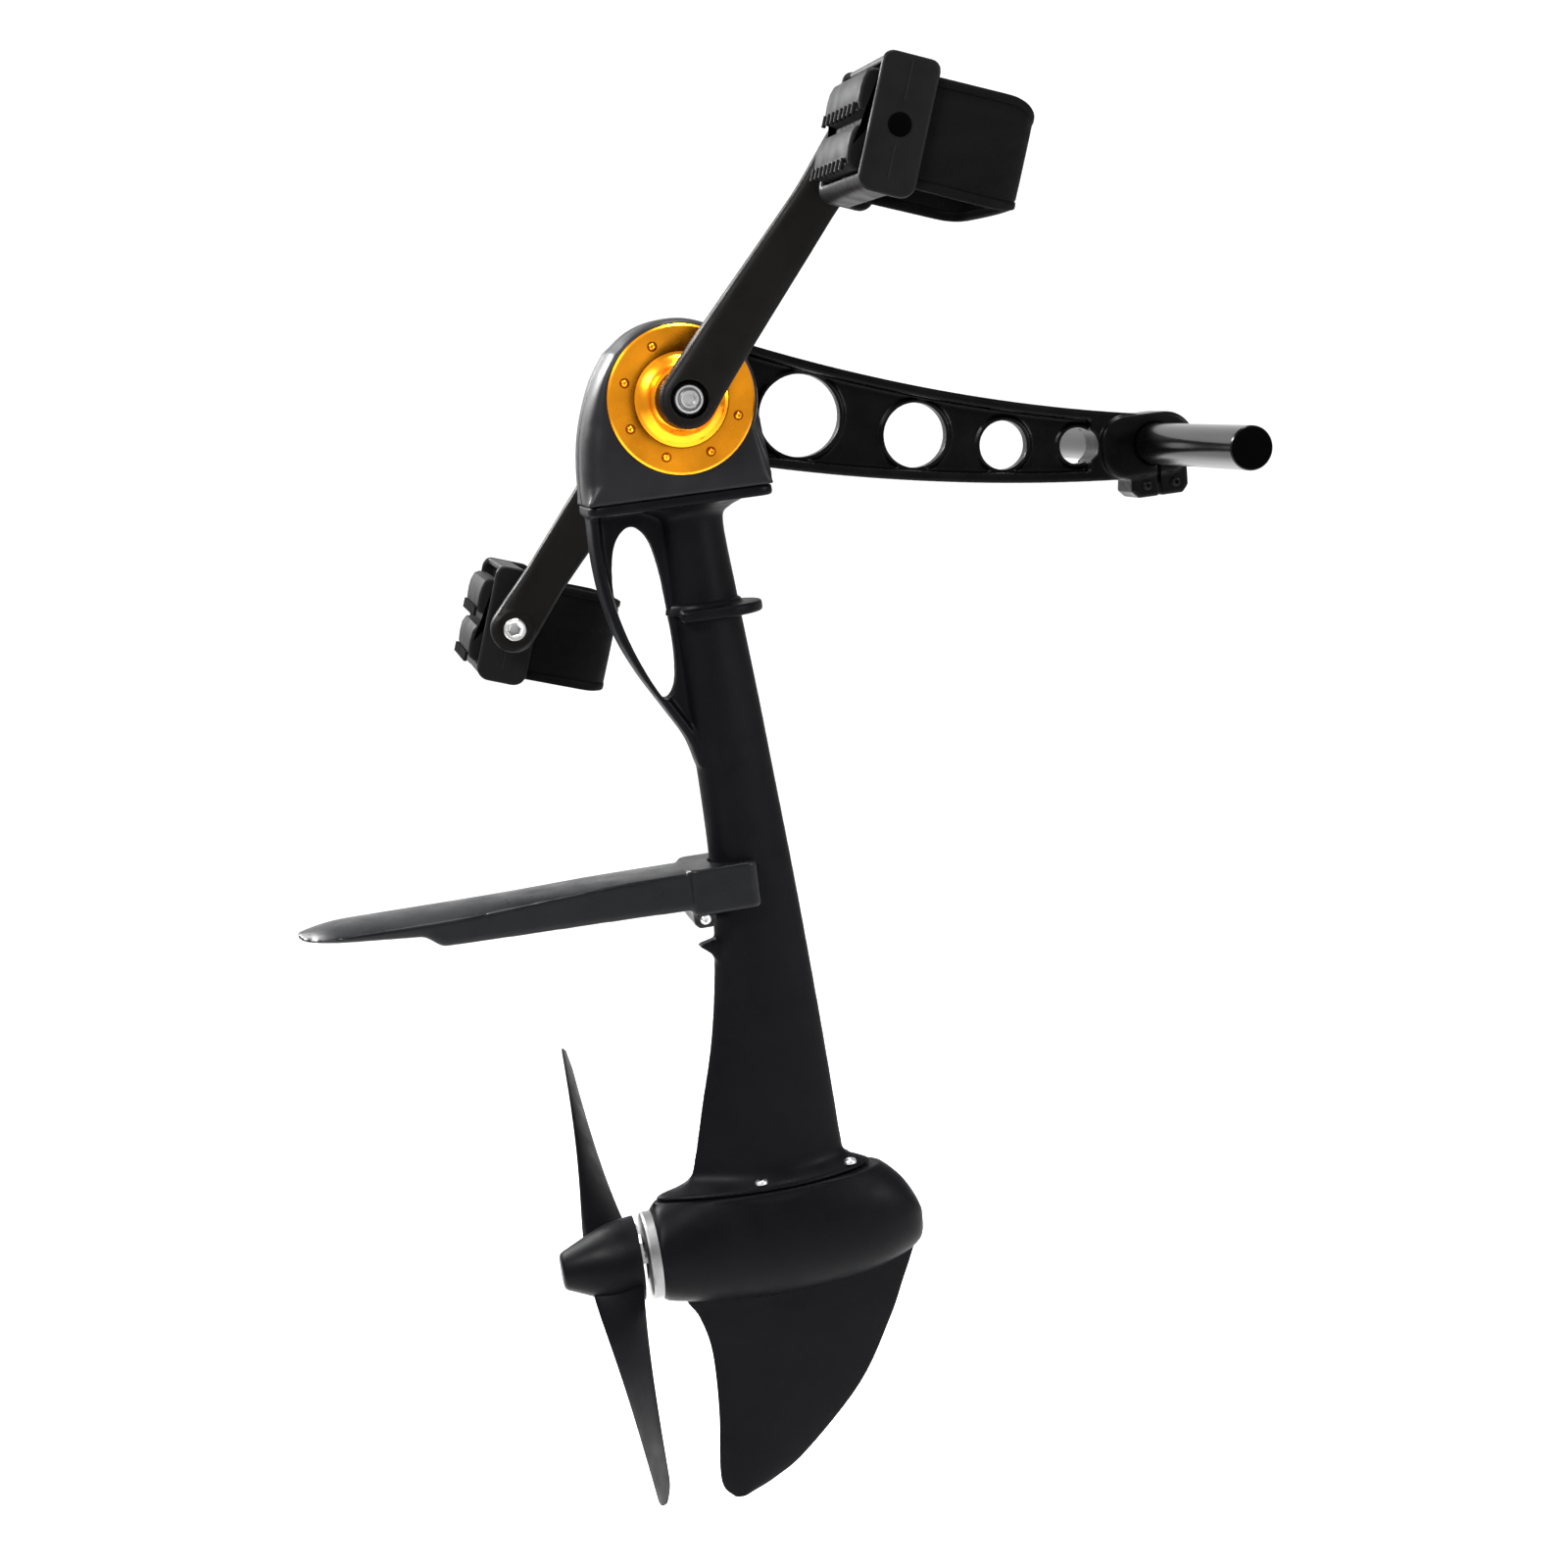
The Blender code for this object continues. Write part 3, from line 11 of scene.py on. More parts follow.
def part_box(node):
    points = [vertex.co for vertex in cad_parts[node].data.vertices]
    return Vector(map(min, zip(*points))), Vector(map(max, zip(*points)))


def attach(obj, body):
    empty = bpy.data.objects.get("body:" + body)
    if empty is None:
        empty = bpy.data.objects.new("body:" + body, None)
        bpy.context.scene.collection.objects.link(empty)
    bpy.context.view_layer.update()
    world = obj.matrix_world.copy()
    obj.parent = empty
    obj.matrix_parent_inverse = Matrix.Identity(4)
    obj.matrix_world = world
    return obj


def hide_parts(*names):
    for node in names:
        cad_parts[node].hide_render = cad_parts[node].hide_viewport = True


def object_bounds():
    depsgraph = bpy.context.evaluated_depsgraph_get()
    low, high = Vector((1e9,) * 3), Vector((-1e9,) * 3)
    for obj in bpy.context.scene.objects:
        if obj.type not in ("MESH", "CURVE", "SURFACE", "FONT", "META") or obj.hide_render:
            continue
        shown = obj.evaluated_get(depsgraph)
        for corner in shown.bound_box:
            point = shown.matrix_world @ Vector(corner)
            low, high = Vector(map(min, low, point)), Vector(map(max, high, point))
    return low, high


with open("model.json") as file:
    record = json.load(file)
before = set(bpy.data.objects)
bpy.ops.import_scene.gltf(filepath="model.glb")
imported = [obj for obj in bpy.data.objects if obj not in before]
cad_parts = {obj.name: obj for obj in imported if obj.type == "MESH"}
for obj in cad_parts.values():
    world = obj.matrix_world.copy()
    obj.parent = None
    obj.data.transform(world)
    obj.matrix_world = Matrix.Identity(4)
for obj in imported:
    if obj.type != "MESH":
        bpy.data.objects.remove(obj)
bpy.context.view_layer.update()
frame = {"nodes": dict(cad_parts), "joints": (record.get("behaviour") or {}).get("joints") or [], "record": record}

# ---------------------------------------------------------------- places and sizes taken from the frame
JOINTS = {j["name"]: Vector(j["pos_m"]) for j in frame["joints"]}
CRANK = JOINTS["crank_spin"]
PROPELLER = JOINTS["propeller_spin"] - CRANK
EYES = {-1: JOINTS["starboard_pedal_spin"] - CRANK, 1: JOINTS["port_pedal_spin"] - CRANK}
for eye in EYES.values():
    eye.y = 0                     # pedal pieces give their own distances from the centre plane
SIDES = ((-1, "starboard"), (1, "port"))


def low(node):
    """Lowest corner of a CAD node, seen from the crank axis."""
    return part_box(node)[0] - CRANK


def high(node):
    """Highest corner of a CAD node, seen from the crank axis."""
    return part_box(node)[1] - CRANK


CRANK_LENGTH = Vector((EYES[-1].x, EYES[-1].z)).length
CRANK_ANGLE = atan2(EYES[-1].x, EYES[-1].z)
PEDAL_LEAN = radians(19.5)        # how far a pedal's top leans forward at rest
CASING_HALF = high("port_head_casing").y
CASING_FLOOR = low("port_head_casing").z
CASING_RADIUS = high("port_head_casing").z
CAP_RADIUS = high("port_bearing_cap").z
FOOT_BOTTOM = low("leg_casting").z
GEARCASE_AFT = low("lower_gearcase").x
PEDAL_IN = low("port_pedal_body").y
PEDAL_OUT = high("port_pedal_body").y
TUBE = Vector((-CRANK.x, 0, -CRANK.z))
TUBE_RADIUS = high("cross_tube").z - TUBE.z
TUBE_END = high("port_tube_plug").y
PROP_RADIUS = 0.1680
PROP_PITCH = 0.300                # advance in one turn
PROP_ANGLE = radians(51.5)        # turn of the blades at rest
SEAM = 0.00015                    # half of the gap between the head casings


# ---------------------------------------------------------------- mesh helpers, measured from the crank axis
def add(name, bm, smooth=40.0):
    bmesh.ops.recalc_face_normals(bm, faces=bm.faces)
    mesh = bpy.data.meshes.new(name)
    bm.to_mesh(mesh)
    bm.free()
    mesh.shade_smooth()
    mesh.set_sharp_from_angle(angle=radians(smooth))
    ob = bpy.data.objects.new(name, mesh)
    bpy.context.scene.collection.objects.link(ob)
    return ob


def bridge(bm, rings, caps=True):
    count = len(rings[0])
    for near, far in zip(rings, rings[1:]):
        for i in range(count):
            j = (i + 1) % count
            bm.faces.new((near[i], near[j], far[j], far[i]))
    if caps:
        bm.faces.new(list(reversed(rings[0])))
        bm.faces.new(rings[-1])


def loft(name, sections, smooth=40.0):
    bm = bmesh.new()
    bridge(bm, [[bm.verts.new(p) for p in section] for section in sections])
    return add(name, bm, smooth)


def turned(name, profile, axis, centre=(0, 0, 0), count=96, smooth=35.0):
    """A profile of (radius, height) points turned round an axis; radius 0 makes a pole."""
    along = Vector(axis).normalized()
    side = along.orthogonal().normalized()
    other = along.cross(side)
    bm = bmesh.new()
    rings = []
    for radius, height in profile:
        base = Vector(centre) + along * height
        if radius == 0:
            rings.append([bm.verts.new(base)] * count)
            continue
        turn = [2 * pi * i / count for i in range(count)]
        rings.append([bm.verts.new(base + (side * cos(a) + other * sin(a)) * radius) for a in turn])
    for near, far in zip(rings, rings[1:]):
        for i in range(count):
            j = (i + 1) % count
            corners = list(dict.fromkeys((near[i], near[j], far[j], far[i])))
            if len(corners) > 2:
                bm.faces.new(corners)
    return add(name, bm, smooth)


def ease(share):
    """A smooth step from 0 to 1."""
    share = min(1.0, max(0.0, share))
    return share * share * (3 - 2 * share)


def squared(value, power):
    """A cosine or sine pushed towards -1 and 1, which squares a round section."""
    return copysign(abs(value) ** power, value)


def arc(centre, radius, start, end, count):
    turn = [radians(start + (end - start) * i / count) for i in range(count + 1)]
    return [(centre[0] + radius * cos(a), centre[1] + radius * sin(a)) for a in turn]


def curve_through(points, steps=6, closed=False):
    """A smooth Catmull-Rom line through points of any dimension."""
    points = [Vector(p) for p in points]
    count = len(points)
    line = []
    for i in range(count if closed else count - 1):
        if closed:
            p0, p1, p2, p3 = (points[(i + k) % count] for k in (-1, 0, 1, 2))
        else:
            p1, p2 = points[i], points[i + 1]
            p0 = points[i - 1] if i > 0 else p1 * 2 - p2
            p3 = points[i + 2] if i + 2 < count else p2 * 2 - p1
        for k in range(steps):
            t = k / steps
            line.append(0.5 * (2 * p1 + (p2 - p0) * t + (2 * p0 - 5 * p1 + 4 * p2 - p3) * t * t
                               + (3 * p1 - p0 - 3 * p2 + p3) * t ** 3))
    return line if closed else line + [points[-1]]


def rounded_box(left, right, half, upper_radius, lower_radius, count):
    """A rectangle with round corners, placed by the centres of its two upper corners."""
    grow = upper_radius - lower_radius
    return (arc((right, half), upper_radius, 0, 90, count) + arc((left, half), upper_radius, 90, 180, count)
            + arc((left - grow, -half - grow), lower_radius, 180, 270, count)
            + arc((right + grow, -half - grow), lower_radius, 270, 360, count))


def inset(outline, depth):
    """An outline moved inwards by depth."""
    points = [Vector(p[:2]) for p in outline]
    count = len(points)
    area = sum(points[i].cross(points[(i + 1) % count]) for i in range(count))
    turn = 1 if area > 0 else -1
    moved = []
    for i in range(count):
        before = (points[i] - points[i - 1]).normalized()
        after = (points[(i + 1) % count] - points[i]).normalized()
        normal = Vector((-before.y - after.y, before.x + after.x)) * turn
        normal.normalize()
        share = max(0.5, normal.dot(Vector((-after.y, after.x)) * turn))
        moved.append(points[i] + normal * depth / share)
    return moved


def pillow(name, outline, near, far, round_near=0.0, round_far=0.0, up="y", steps=6):
    """An outline pushed along up, its edges rounded at either end."""
    levels = [(near + round_near * (1 - cos(pi / 2 * i / steps)), round_near * (1 - sin(pi / 2 * i / steps)))
              for i in range(steps + 1 if round_near else 1)]
    levels += [(far - round_far * (1 - cos(pi / 2 * i / steps)), round_far * (1 - sin(pi / 2 * i / steps)))
               for i in range(steps if round_far else 0, -1, -1)]
    sections = []
    for height, depth in levels:
        flat = inset(outline, depth) if depth else [Vector(p[:2]) for p in outline]
        sections.append([(p.x, height, p.y) if up == "y" else (p.x, p.y, height) for p in flat])
    return loft(name, sections, 35)


def baked(ob):
    """The object with its modifiers made real."""
    graph = bpy.context.evaluated_depsgraph_get()
    mesh = bpy.data.meshes.new_from_object(ob.evaluated_get(graph))
    ob.modifiers.clear()
    ob.data = mesh
    return ob


def cut(ob, tools):
    for tool in tools:
        mod = ob.modifiers.new("cut", "BOOLEAN")
        mod.operation = "DIFFERENCE"
        mod.solver = "EXACT"
        mod.object = tool
    baked(ob)
    for tool in tools:
        bpy.data.objects.remove(tool)
    return ob


def merged(parts):
    bm = bmesh.new()
    for part in parts:
        bm.from_mesh(part.data)
        bpy.data.objects.remove(part)
    return bm


def fuse(ob, grain):
    mod = ob.modifiers.new("fuse", "REMESH")
    mod.mode = "VOXEL"
    mod.voxel_size = grain
    baked(ob)


def cast(name, parts, cuts=(), grain=0.0010, rounds=6):
    """Overlapping parts fused, cut and softened, as a casting's edges are."""
    ob = add(name, merged(parts))
    fuse(ob, grain)
    if cuts:
        cut(ob, cuts)
        fuse(ob, grain)
    mod = ob.modifiers.new("soften", "SMOOTH")
    mod.factor = 0.5
    mod.iterations = rounds
    baked(ob)
    ob.data.shade_smooth()
    return ob


def rod(name, centre, axis, radius, length, count=48):
    return turned(name, [(0, -length / 2), (radius, -length / 2), (radius, length / 2), (0, length / 2)],
                  axis, centre, count)


def place(ob, body, mat, slot, *nodes, matrix=None):
    """Puts a piece made round the crank axis into the row frame, and on its body."""
    ob.data.transform(Matrix.Translation(CRANK) @ (matrix or Matrix.Identity(4)))
    ob.data.materials.clear()
    ob.data.materials.append(mat)
    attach(ob, body)
    if nodes:
        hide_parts(*nodes)
    return ob


def joined(name, parts):
    bm = merged(parts)
    mesh = bpy.data.meshes.new(name)
    bm.to_mesh(mesh)
    bm.free()
    ob = bpy.data.objects.new(name, mesh)
    bpy.context.scene.collection.objects.link(ob)
    return ob


# ---------------------------------------------------------------- finishes
def finish(name, colour, rough, metal=0.0, grain=900.0, depth=0.05, spread=0.08, coat=0.0, edge_highlight=None,
           brushed=None, gloss=0.5):
    """A base colour that varies a little, with roughness patches, fine grain and a painted highlight on sharp
    edges.
    """
    mat = bpy.data.materials.new(name)
    mat.use_nodes = True
    nodes = mat.node_tree.nodes
    links = mat.node_tree.links
    shader = nodes["Principled BSDF"]
    shader.inputs["Metallic"].default_value = metal
    shader.inputs["Coat Weight"].default_value = coat
    shader.inputs["Coat Roughness"].default_value = 0.18
    shader.inputs["Specular IOR Level"].default_value = gloss
    place_node = nodes.new("ShaderNodeTexCoord")
    stretch = nodes.new("ShaderNodeMapping")
    stretch.inputs["Scale"].default_value = brushed or (1, 1, 1)
    links.new(place_node.outputs["Object"], stretch.inputs["Vector"])

    def noise(scale, detail=4.0):
        node = nodes.new("ShaderNodeTexNoise")
        node.inputs["Scale"].default_value = scale
        node.inputs["Detail"].default_value = detail
        links.new(stretch.outputs["Vector"], node.inputs["Vector"])
        return node.outputs["Fac"]

    def ranged(value, start, end, first=0.3, last=0.7):
        node = nodes.new("ShaderNodeMapRange")
        node.inputs["From Min"].default_value = first
        node.inputs["From Max"].default_value = last
        node.inputs["To Min"].default_value = start
        node.inputs["To Max"].default_value = end
        links.new(value, node.inputs["Value"])
        return node.outputs["Result"]

    def mixed(factor, one, two):
        node = nodes.new("ShaderNodeMix")
        node.data_type = "RGBA"
        links.new(factor, node.inputs["Factor"])
        for socket, value in (("A", one), ("B", two)):
            target = [s for s in node.inputs if s.name == socket and s.type == "RGBA"][0]
            if isinstance(value, tuple):
                target.default_value = (*value, 1)
            else:
                links.new(value, target)
        return [s for s in node.outputs if s.type == "RGBA"][0]

    darker = tuple(c * 0.82 for c in colour)
    lighter = tuple(min(1, c * 1.15) for c in colour)
    tone = mixed(ranged(noise(38), 0, 1), darker, lighter)
    # Sharp edges, found by pointiness, are mixed towards a lighter colour: a painted highlight along the edges.
    if edge_highlight:
        geometry = nodes.new("ShaderNodeNewGeometry")
        edge = ranged(geometry.outputs["Pointiness"], 0, 0.65, 0.54, 0.62)
        tone = mixed(edge, tone, edge_highlight)
    links.new(tone, shader.inputs["Base Color"])
    links.new(ranged(noise(65), rough - spread, rough + spread), shader.inputs["Roughness"])
    bump = nodes.new("ShaderNodeBump")
    bump.inputs["Strength"].default_value = depth
    bump.inputs["Distance"].default_value = 0.0004
    links.new(noise(grain, 6), bump.inputs["Height"])
    links.new(bump.outputs["Normal"], shader.inputs["Normal"])
    return mat


# In the finishes below, the colour given for sharp edges is lighter than the base: a painted edge highlight.
BLACK = finish("black_casting", (0.0015, 0.0015, 0.0021), 0.43, grain=1400, depth=0.16, gloss=0.045,
               edge_highlight=(0.004, 0.004, 0.005))
# A lighter copy of the black casting, used only on the gear head: painted light on the head's lit faces.
LIT_HEAD_BLACK = finish("black_casting_head_painted_light", (0.0060, 0.0060, 0.0068), 0.43, grain=1400, depth=0.16,
                    gloss=0.100, edge_highlight=(0.009, 0.009, 0.010))
COATED = finish("black_coated_alloy", (0.0008, 0.0008, 0.0010), 0.30, grain=1100, depth=0.10, gloss=0.060,
                edge_highlight=(0.010, 0.010, 0.011))
TUBE_BLACK = finish("black_tube", (0.0010, 0.0010, 0.0012), 0.20, grain=500, depth=0.03, spread=0.05,
                    coat=0.10, brushed=(1, 0.05, 1), gloss=0.16)
PLATE = finish("plate_plastic", (0.0022, 0.0024, 0.0032), 0.34, grain=1300, depth=0.10, gloss=0.14)
GREY = finish("grey_crank_alloy", (0.0026, 0.0023, 0.0021), 0.46, grain=1500, depth=0.14, gloss=0.050,
              edge_highlight=(0.012, 0.011, 0.010))
# A darker copy of the gold, used only for thin discs round the cap screws: painted shade round the screw heads.
GOLD_SHADE = finish("gold_painted_shade", (0.20, 0.045, 0.002), 0.42, metal=1.0, grain=700, depth=0.04, spread=0.05)
GOLD = finish("gold_anodised", (0.88, 0.31, 0.012), 0.25, metal=1.0, grain=700, depth=0.04, spread=0.05)
STEEL = finish("stainless", (0.50, 0.50, 0.50), 0.33, metal=1.0, grain=900, depth=0.05, spread=0.07)
CARRIER = finish("dull_stainless", (0.20, 0.20, 0.20), 0.42, metal=1.0, grain=900, depth=0.10, spread=0.12)
GEAR = finish("gear_steel", (0.34, 0.33, 0.32), 0.36, metal=1.0, grain=700, depth=0.06)
BEARING = finish("bearing_steel", (0.52, 0.52, 0.54), 0.20, metal=1.0, grain=500, depth=0.02, spread=0.04)
NYLON = finish("nylon_bush", (0.72, 0.71, 0.66), 0.50, grain=900, depth=0.05)
RUBBER = finish("black_rubber", (0.0003, 0.0003, 0.0003), 0.62, grain=1800, depth=0.20, gloss=0.008)
TREAD = finish("tread_rubber", (0.0028, 0.0028, 0.0032), 0.55, grain=1700, depth=0.30, gloss=0.05)
RESIN = finish("pedal_resin", (0.0028, 0.0028, 0.0031), 0.46, grain=1300, depth=0.14, gloss=0.070,
               edge_highlight=(0.008, 0.008, 0.008))
WEB = finish("strap_webbing", (0.0018, 0.0018, 0.0019), 0.64, grain=1500, depth=0.45, brushed=(1, 1, 2.5),
             gloss=0.030)
FINISH = {
    "black_casting": BLACK, "black_coated_alloy": COATED, "black_tube": TUBE_BLACK, "plate_plastic": PLATE,
    "grey_crank_alloy": GREY, "gold_anodised": GOLD, "stainless": STEEL, "gear_steel": GEAR,
    "bearing_steel": BEARING, "nylon_bush": NYLON, "black_rubber": RUBBER, "tread_rubber": TREAD,
    "pedal_resin": RESIN, "strap_webbing": WEB,
}


# ---------------------------------------------------------------- gear head
EDGE_ROLL = 0.0170                # depth along the axle over which the casing's edge rolls over
CAP_SCREWS = 8
SCREW_CIRCLE = 0.0353
CAP_FACE = 0.0313


def head_outline():
    dome = arc((0, 0), CASING_RADIUS, -24, 132, 38)
    aft = curve_through([(-0.0375, 0.0322), (-0.0470, 0.0185), (-0.0545, 0.0020), (-0.0598, -0.0150),
                         (-0.0626, -0.0320), (-0.0636, -0.0470), (-0.0636, CASING_FLOOR)], 5)
    return dome + aft + [Vector((0.0500, CASING_FLOOR)), Vector((0.0515, -0.0500))]


def head_half(side, steps=12):
    """Half of the head: its outer edge rolls over to the cap's rim, more deeply where there is room aft."""
    outline = [Vector(p[:2]) for p in head_outline()]
    face = []
    for point, moved in zip(outline, inset(outline, 1.0)):
        room = min(0.0130, max(0.0026, 0.9 * (point.length - CAP_RADIUS)))
        if point.y < CASING_FLOOR + 0.0120:
            room *= max(0.0, (point.y - CASING_FLOOR) / 0.0120)
        face.append(point + (moved - point) * room)
    sections = [[(p.x, side * SEAM, p.y) for p in outline]]
    for i in range(steps + 1):
        a = pi / 2 * i / steps
        y = side * (CASING_HALF - EDGE_ROLL * (1 - sin(a)))
        sections.append([(p.x + (f.x - p.x) * (1 - cos(a)), y, p.y + (f.y - p.y) * (1 - cos(a)))
                         for p, f in zip(outline, face)])
    return loft("half", sections)


def screw(name, centre, axis, radius, height):
    """A button head with a hex socket."""
    head = turned(name, [(0, 0), (radius, 0), (radius, height * 0.35), (radius * 0.86, height * 0.78),
                         (radius * 0.62, height), (0, height)], axis, centre, 32)
    socket = rod(name + "_socket", Vector(centre) + Vector(axis).normalized() * height, axis, radius * 0.42,
                 height * 1.1, 6)
    return cut(head, [socket])


def build_head():
    for side, label in SIDES:
        half = head_half(side)
        corners = ((0.034, 0.022), (0.046, 0.010), (0.051, -0.045), (0.034, -0.050))
        rib = loft("rib", [[(x, side * y, z) for x, z in corners] for y in (0.001, 0.0165)])
        casing = cast(label + "_head", [half, rib], grain=0.0011, rounds=5)
        # The head gets the lighter copy of the black casting: painted light.
        place(casing, "frame", LIT_HEAD_BLACK, "black_casting", label + "_head_casing")

        rim = [(0, CASING_HALF), (CAP_RADIUS, CASING_HALF), (CAP_RADIUS, 0.0303),
               (CAP_RADIUS - 0.0012, 0.0314), (0.0290, 0.0314), (0.0281, 0.0310), (0.0262, 0.0316),
               (0.0240, 0.0337), (0.0222, 0.0348), (0.0208, 0.0362), (0.0198, 0.0380), (0.0190, 0.0396),
               (0.0176, 0.0410), (0.0130, 0.0410), (0.0126, 0.0395), (0, 0.0395)]
        cap = turned(label + "_cap", rim, (0, side, 0), count=128, smooth=25)
        place(cap, "frame", GOLD, "gold_anodised", label + "_bearing_cap")
        # A thin dark gold disc under each cap screw shows round its head: a painted shade ring.
        painted_shade_ring = [(0, 0), (0.0030, 0), (0.0030, 0.00025), (0, 0.0003)]
        for i in range(CAP_SCREWS):
            a = 2 * pi * (i + 0.5) / CAP_SCREWS
            spot = Vector((SCREW_CIRCLE * cos(a), side * CAP_FACE, SCREW_CIRCLE * sin(a)))
            ring = turned("%s_cap_dimple_%d" % (label, i), painted_shade_ring, (0, side, 0), spot, 32)
            place(ring, "frame", GOLD_SHADE, "gold_anodised")
            head = screw("%s_cap_screw_%d" % (label, i), spot, (0, side, 0), 0.0021, 0.0016)
            place(head, "frame", GOLD, "gold_anodised")


# ---------------------------------------------------------------- arm and tube
ARM_ROOT = 0.040                  # x where the arm starts, inside the head's outline
ARM_END = 0.285
ARM_SPAN = 0.240                  # length over which its edges bend
ARM_HALF = 0.0135
ARM_HOLES = (                     # x, z, radius
    (0.0752, -0.0193, 0.0251),
    (0.1457, -0.0403, 0.0198),
    (0.2008, -0.0535, 0.0151),
    (0.2480, -0.0600, 0.0112),
)


def arm_top(x):
    t = (x - ARM_ROOT) / ARM_SPAN
    return 0.0305 - 0.1040 * t + 0.0300 * t * t


def arm_bottom(x):
    t = (x - ARM_ROOT) / ARM_SPAN
    return -0.0448 - 0.0640 * t + 0.0240 * t * t


def arm_run(start, end, edge, shift=0.0, count=30):
    xs = [start + (end - start) * i / count for i in range(count + 1)]
    return [(x, edge(x) + shift) for x in xs]


def build_arm():
    flange = 0.0062
    edges = arm_run(ARM_ROOT, ARM_END, arm_top) + arm_run(ARM_END, ARM_ROOT, arm_bottom)
    body = pillow("arm", edges, -ARM_HALF, ARM_HALF)
    clamp = arc((TUBE.x + 0.0080, TUBE.z), 0.0190, -88, 88, 16)
    clamp += arc((0.2760, TUBE.z + 0.0035), 0.0158, 92, 180, 8)
    clamp += arc((0.2760, TUBE.z - 0.0040), 0.0158, 180, 268, 8)
    block = pillow("clamp", clamp, -0.0172, 0.0172, 0.0022, 0.0022)
    ears = [(0.2790, TUBE.z - 0.0140), (0.2772, -0.0925), (0.2815, -0.0970), (0.3105, -0.0970),
            (0.3145, -0.0925), (0.3150, TUBE.z - 0.0140)]
    lugs = pillow("ears", ears, -0.0152, 0.0152, 0.0018, 0.0018)
    rim = arm_run(0.046, 0.2560, arm_top, -flange) + arm_run(0.2520, 0.046, arm_bottom, flange)
    pockets = []
    for side in (-1, 1):
        pockets.append(pillow("pocket", rim, *sorted((side * 0.0034, side * 0.022))))
    bosses = [turned("boss", [(r - 0.002, -0.0052), (r + 0.0024, -0.0052), (r + 0.0024, 0.0052),
                              (r - 0.002, 0.0052), (r - 0.002, -0.0052)], (0, 1, 0), (x, 0, z), 64)
              for x, z, r in ARM_HOLES]
    arm = cut(body, pockets)
    tools = [rod("hole", (x, 0, z), (0, 1, 0), r, 0.06, 64) for x, z, r in ARM_HOLES]
    tools.append(rod("bore", TUBE, (0, 1, 0), TUBE_RADIUS + 0.0002, 0.06, 64))
    tools.append(pillow("slit", [(0.2944, -0.110), (0.2966, -0.110), (0.2966, TUBE.z), (0.2944, TUBE.z)],
                        -0.030, 0.030))
    tools.append(rod("root", (0, 0, 0), (0, 1, 0), CASING_RADIUS + 0.0004, 0.08, 96))
    arm = cast("arm_casting", [arm, block, lugs] + bosses, tools, grain=0.0008, rounds=4)
    place(arm, "frame", COATED, "black_coated_alloy", "mounting_arm")
    for i, x in enumerate((0.2872, 0.3058)):
        for side in (-1, 1):
            name = "clamp_screw_%d_%d" % (i, side + 1)
            head = screw(name, (x, side * 0.0150, -0.0895), (0, side, 0), 0.0032, 0.0022)
            place(head, "frame", COATED, "black_coated_alloy")

    end = TUBE_END - 0.0012
    wall = [(TUBE_RADIUS - 0.0008, -end), (TUBE_RADIUS, -end + 0.0008), (TUBE_RADIUS, end - 0.0008),
            (TUBE_RADIUS - 0.0008, end), (0.0107, end), (0.0107, -end), (TUBE_RADIUS - 0.0008, -end)]
    tube = turned("tube", wall, (0, 1, 0), TUBE, 128, 25)
    place(tube, "frame", TUBE_BLACK, "black_tube", "cross_tube")
    for side, label in SIDES:
        shape = [(0, TUBE_END - 0.0006), (0.0070, TUBE_END - 0.0006), (0.0080, TUBE_END),
                 (TUBE_RADIUS - 0.0016, TUBE_END), (TUBE_RADIUS - 0.0006, TUBE_END - 0.0006),
                 (TUBE_RADIUS - 0.0006, TUBE_END - 0.0011), (0.0104, TUBE_END - 0.0012),
                 (0.0104, TUBE_END - 0.0140), (0, TUBE_END - 0.0140)]
        plug = turned(label + "_plug", shape, (0, side, 0), TUBE, 96, 25)
        place(plug, "frame", RUBBER, "black_rubber", label + "_tube_plug")


# ---------------------------------------------------------------- leg, handle and collar
LEG = [                           # height, aft edge, fore edge, half thickness, sharpness of the aft edge
    (-0.0600, -0.0330, 0.0370, 0.0270, 0.0),
    (-0.0640, -0.0300, 0.0345, 0.0250, 0.0),
    (-0.0680, -0.0225, 0.0255, 0.0205, 0.0),
    (-0.0760, -0.0193, 0.0208, 0.0188, 0.0),
    (-0.1200, -0.0188, 0.0238, 0.0182, 0.0),
    (-0.1850, -0.0170, 0.0291, 0.0180, 0.0),
    (-0.2300, -0.0150, 0.0323, 0.0178, 0.1),
    (-0.2900, -0.0150, 0.0366, 0.0175, 0.2),
    (-0.3450, -0.0195, 0.0400, 0.0172, 0.35),
    (-0.3960, -0.0282, 0.0428, 0.0168, 0.5),
    (-0.4400, -0.0403, 0.0448, 0.0166, 0.6),
    (-0.4720, -0.0490, 0.0461, 0.0168, 0.62),
    (-0.4830, -0.0535, 0.0478, 0.0180, 0.55),
    (-0.4885, -0.0640, 0.0575, 0.0213, 0.40),
    (-0.4913, -0.0745, 0.0626, 0.0244, 0.35),
    (FOOT_BOTTOM, -0.0775, 0.0626, 0.0248, 0.35),
]


def leg_section(station, count=64):
    height, aft, fore, half, sharp = station
    ring = []
    for i in range(count):
        a = 2 * pi * i / count
        c = cos(a)
        length = fore if c > 0 else -aft
        thin = 1 - sharp * c * c if c < 0 else 1 - 0.18 * c * c
        ring.append((length * c, half * thin * sin(a), height))
    return ring


def handle_edge():
    """Aft edge of the carrying handle, from the flange down to the leg."""
    return curve_through([(-0.0620, -0.0620), (-0.0624, -0.0900), (-0.0600, -0.1150), (-0.0540, -0.1390),
                          (-0.0440, -0.1620), (-0.0310, -0.1850), (-0.0200, -0.2050), (-0.0150, -0.2230)], 6)


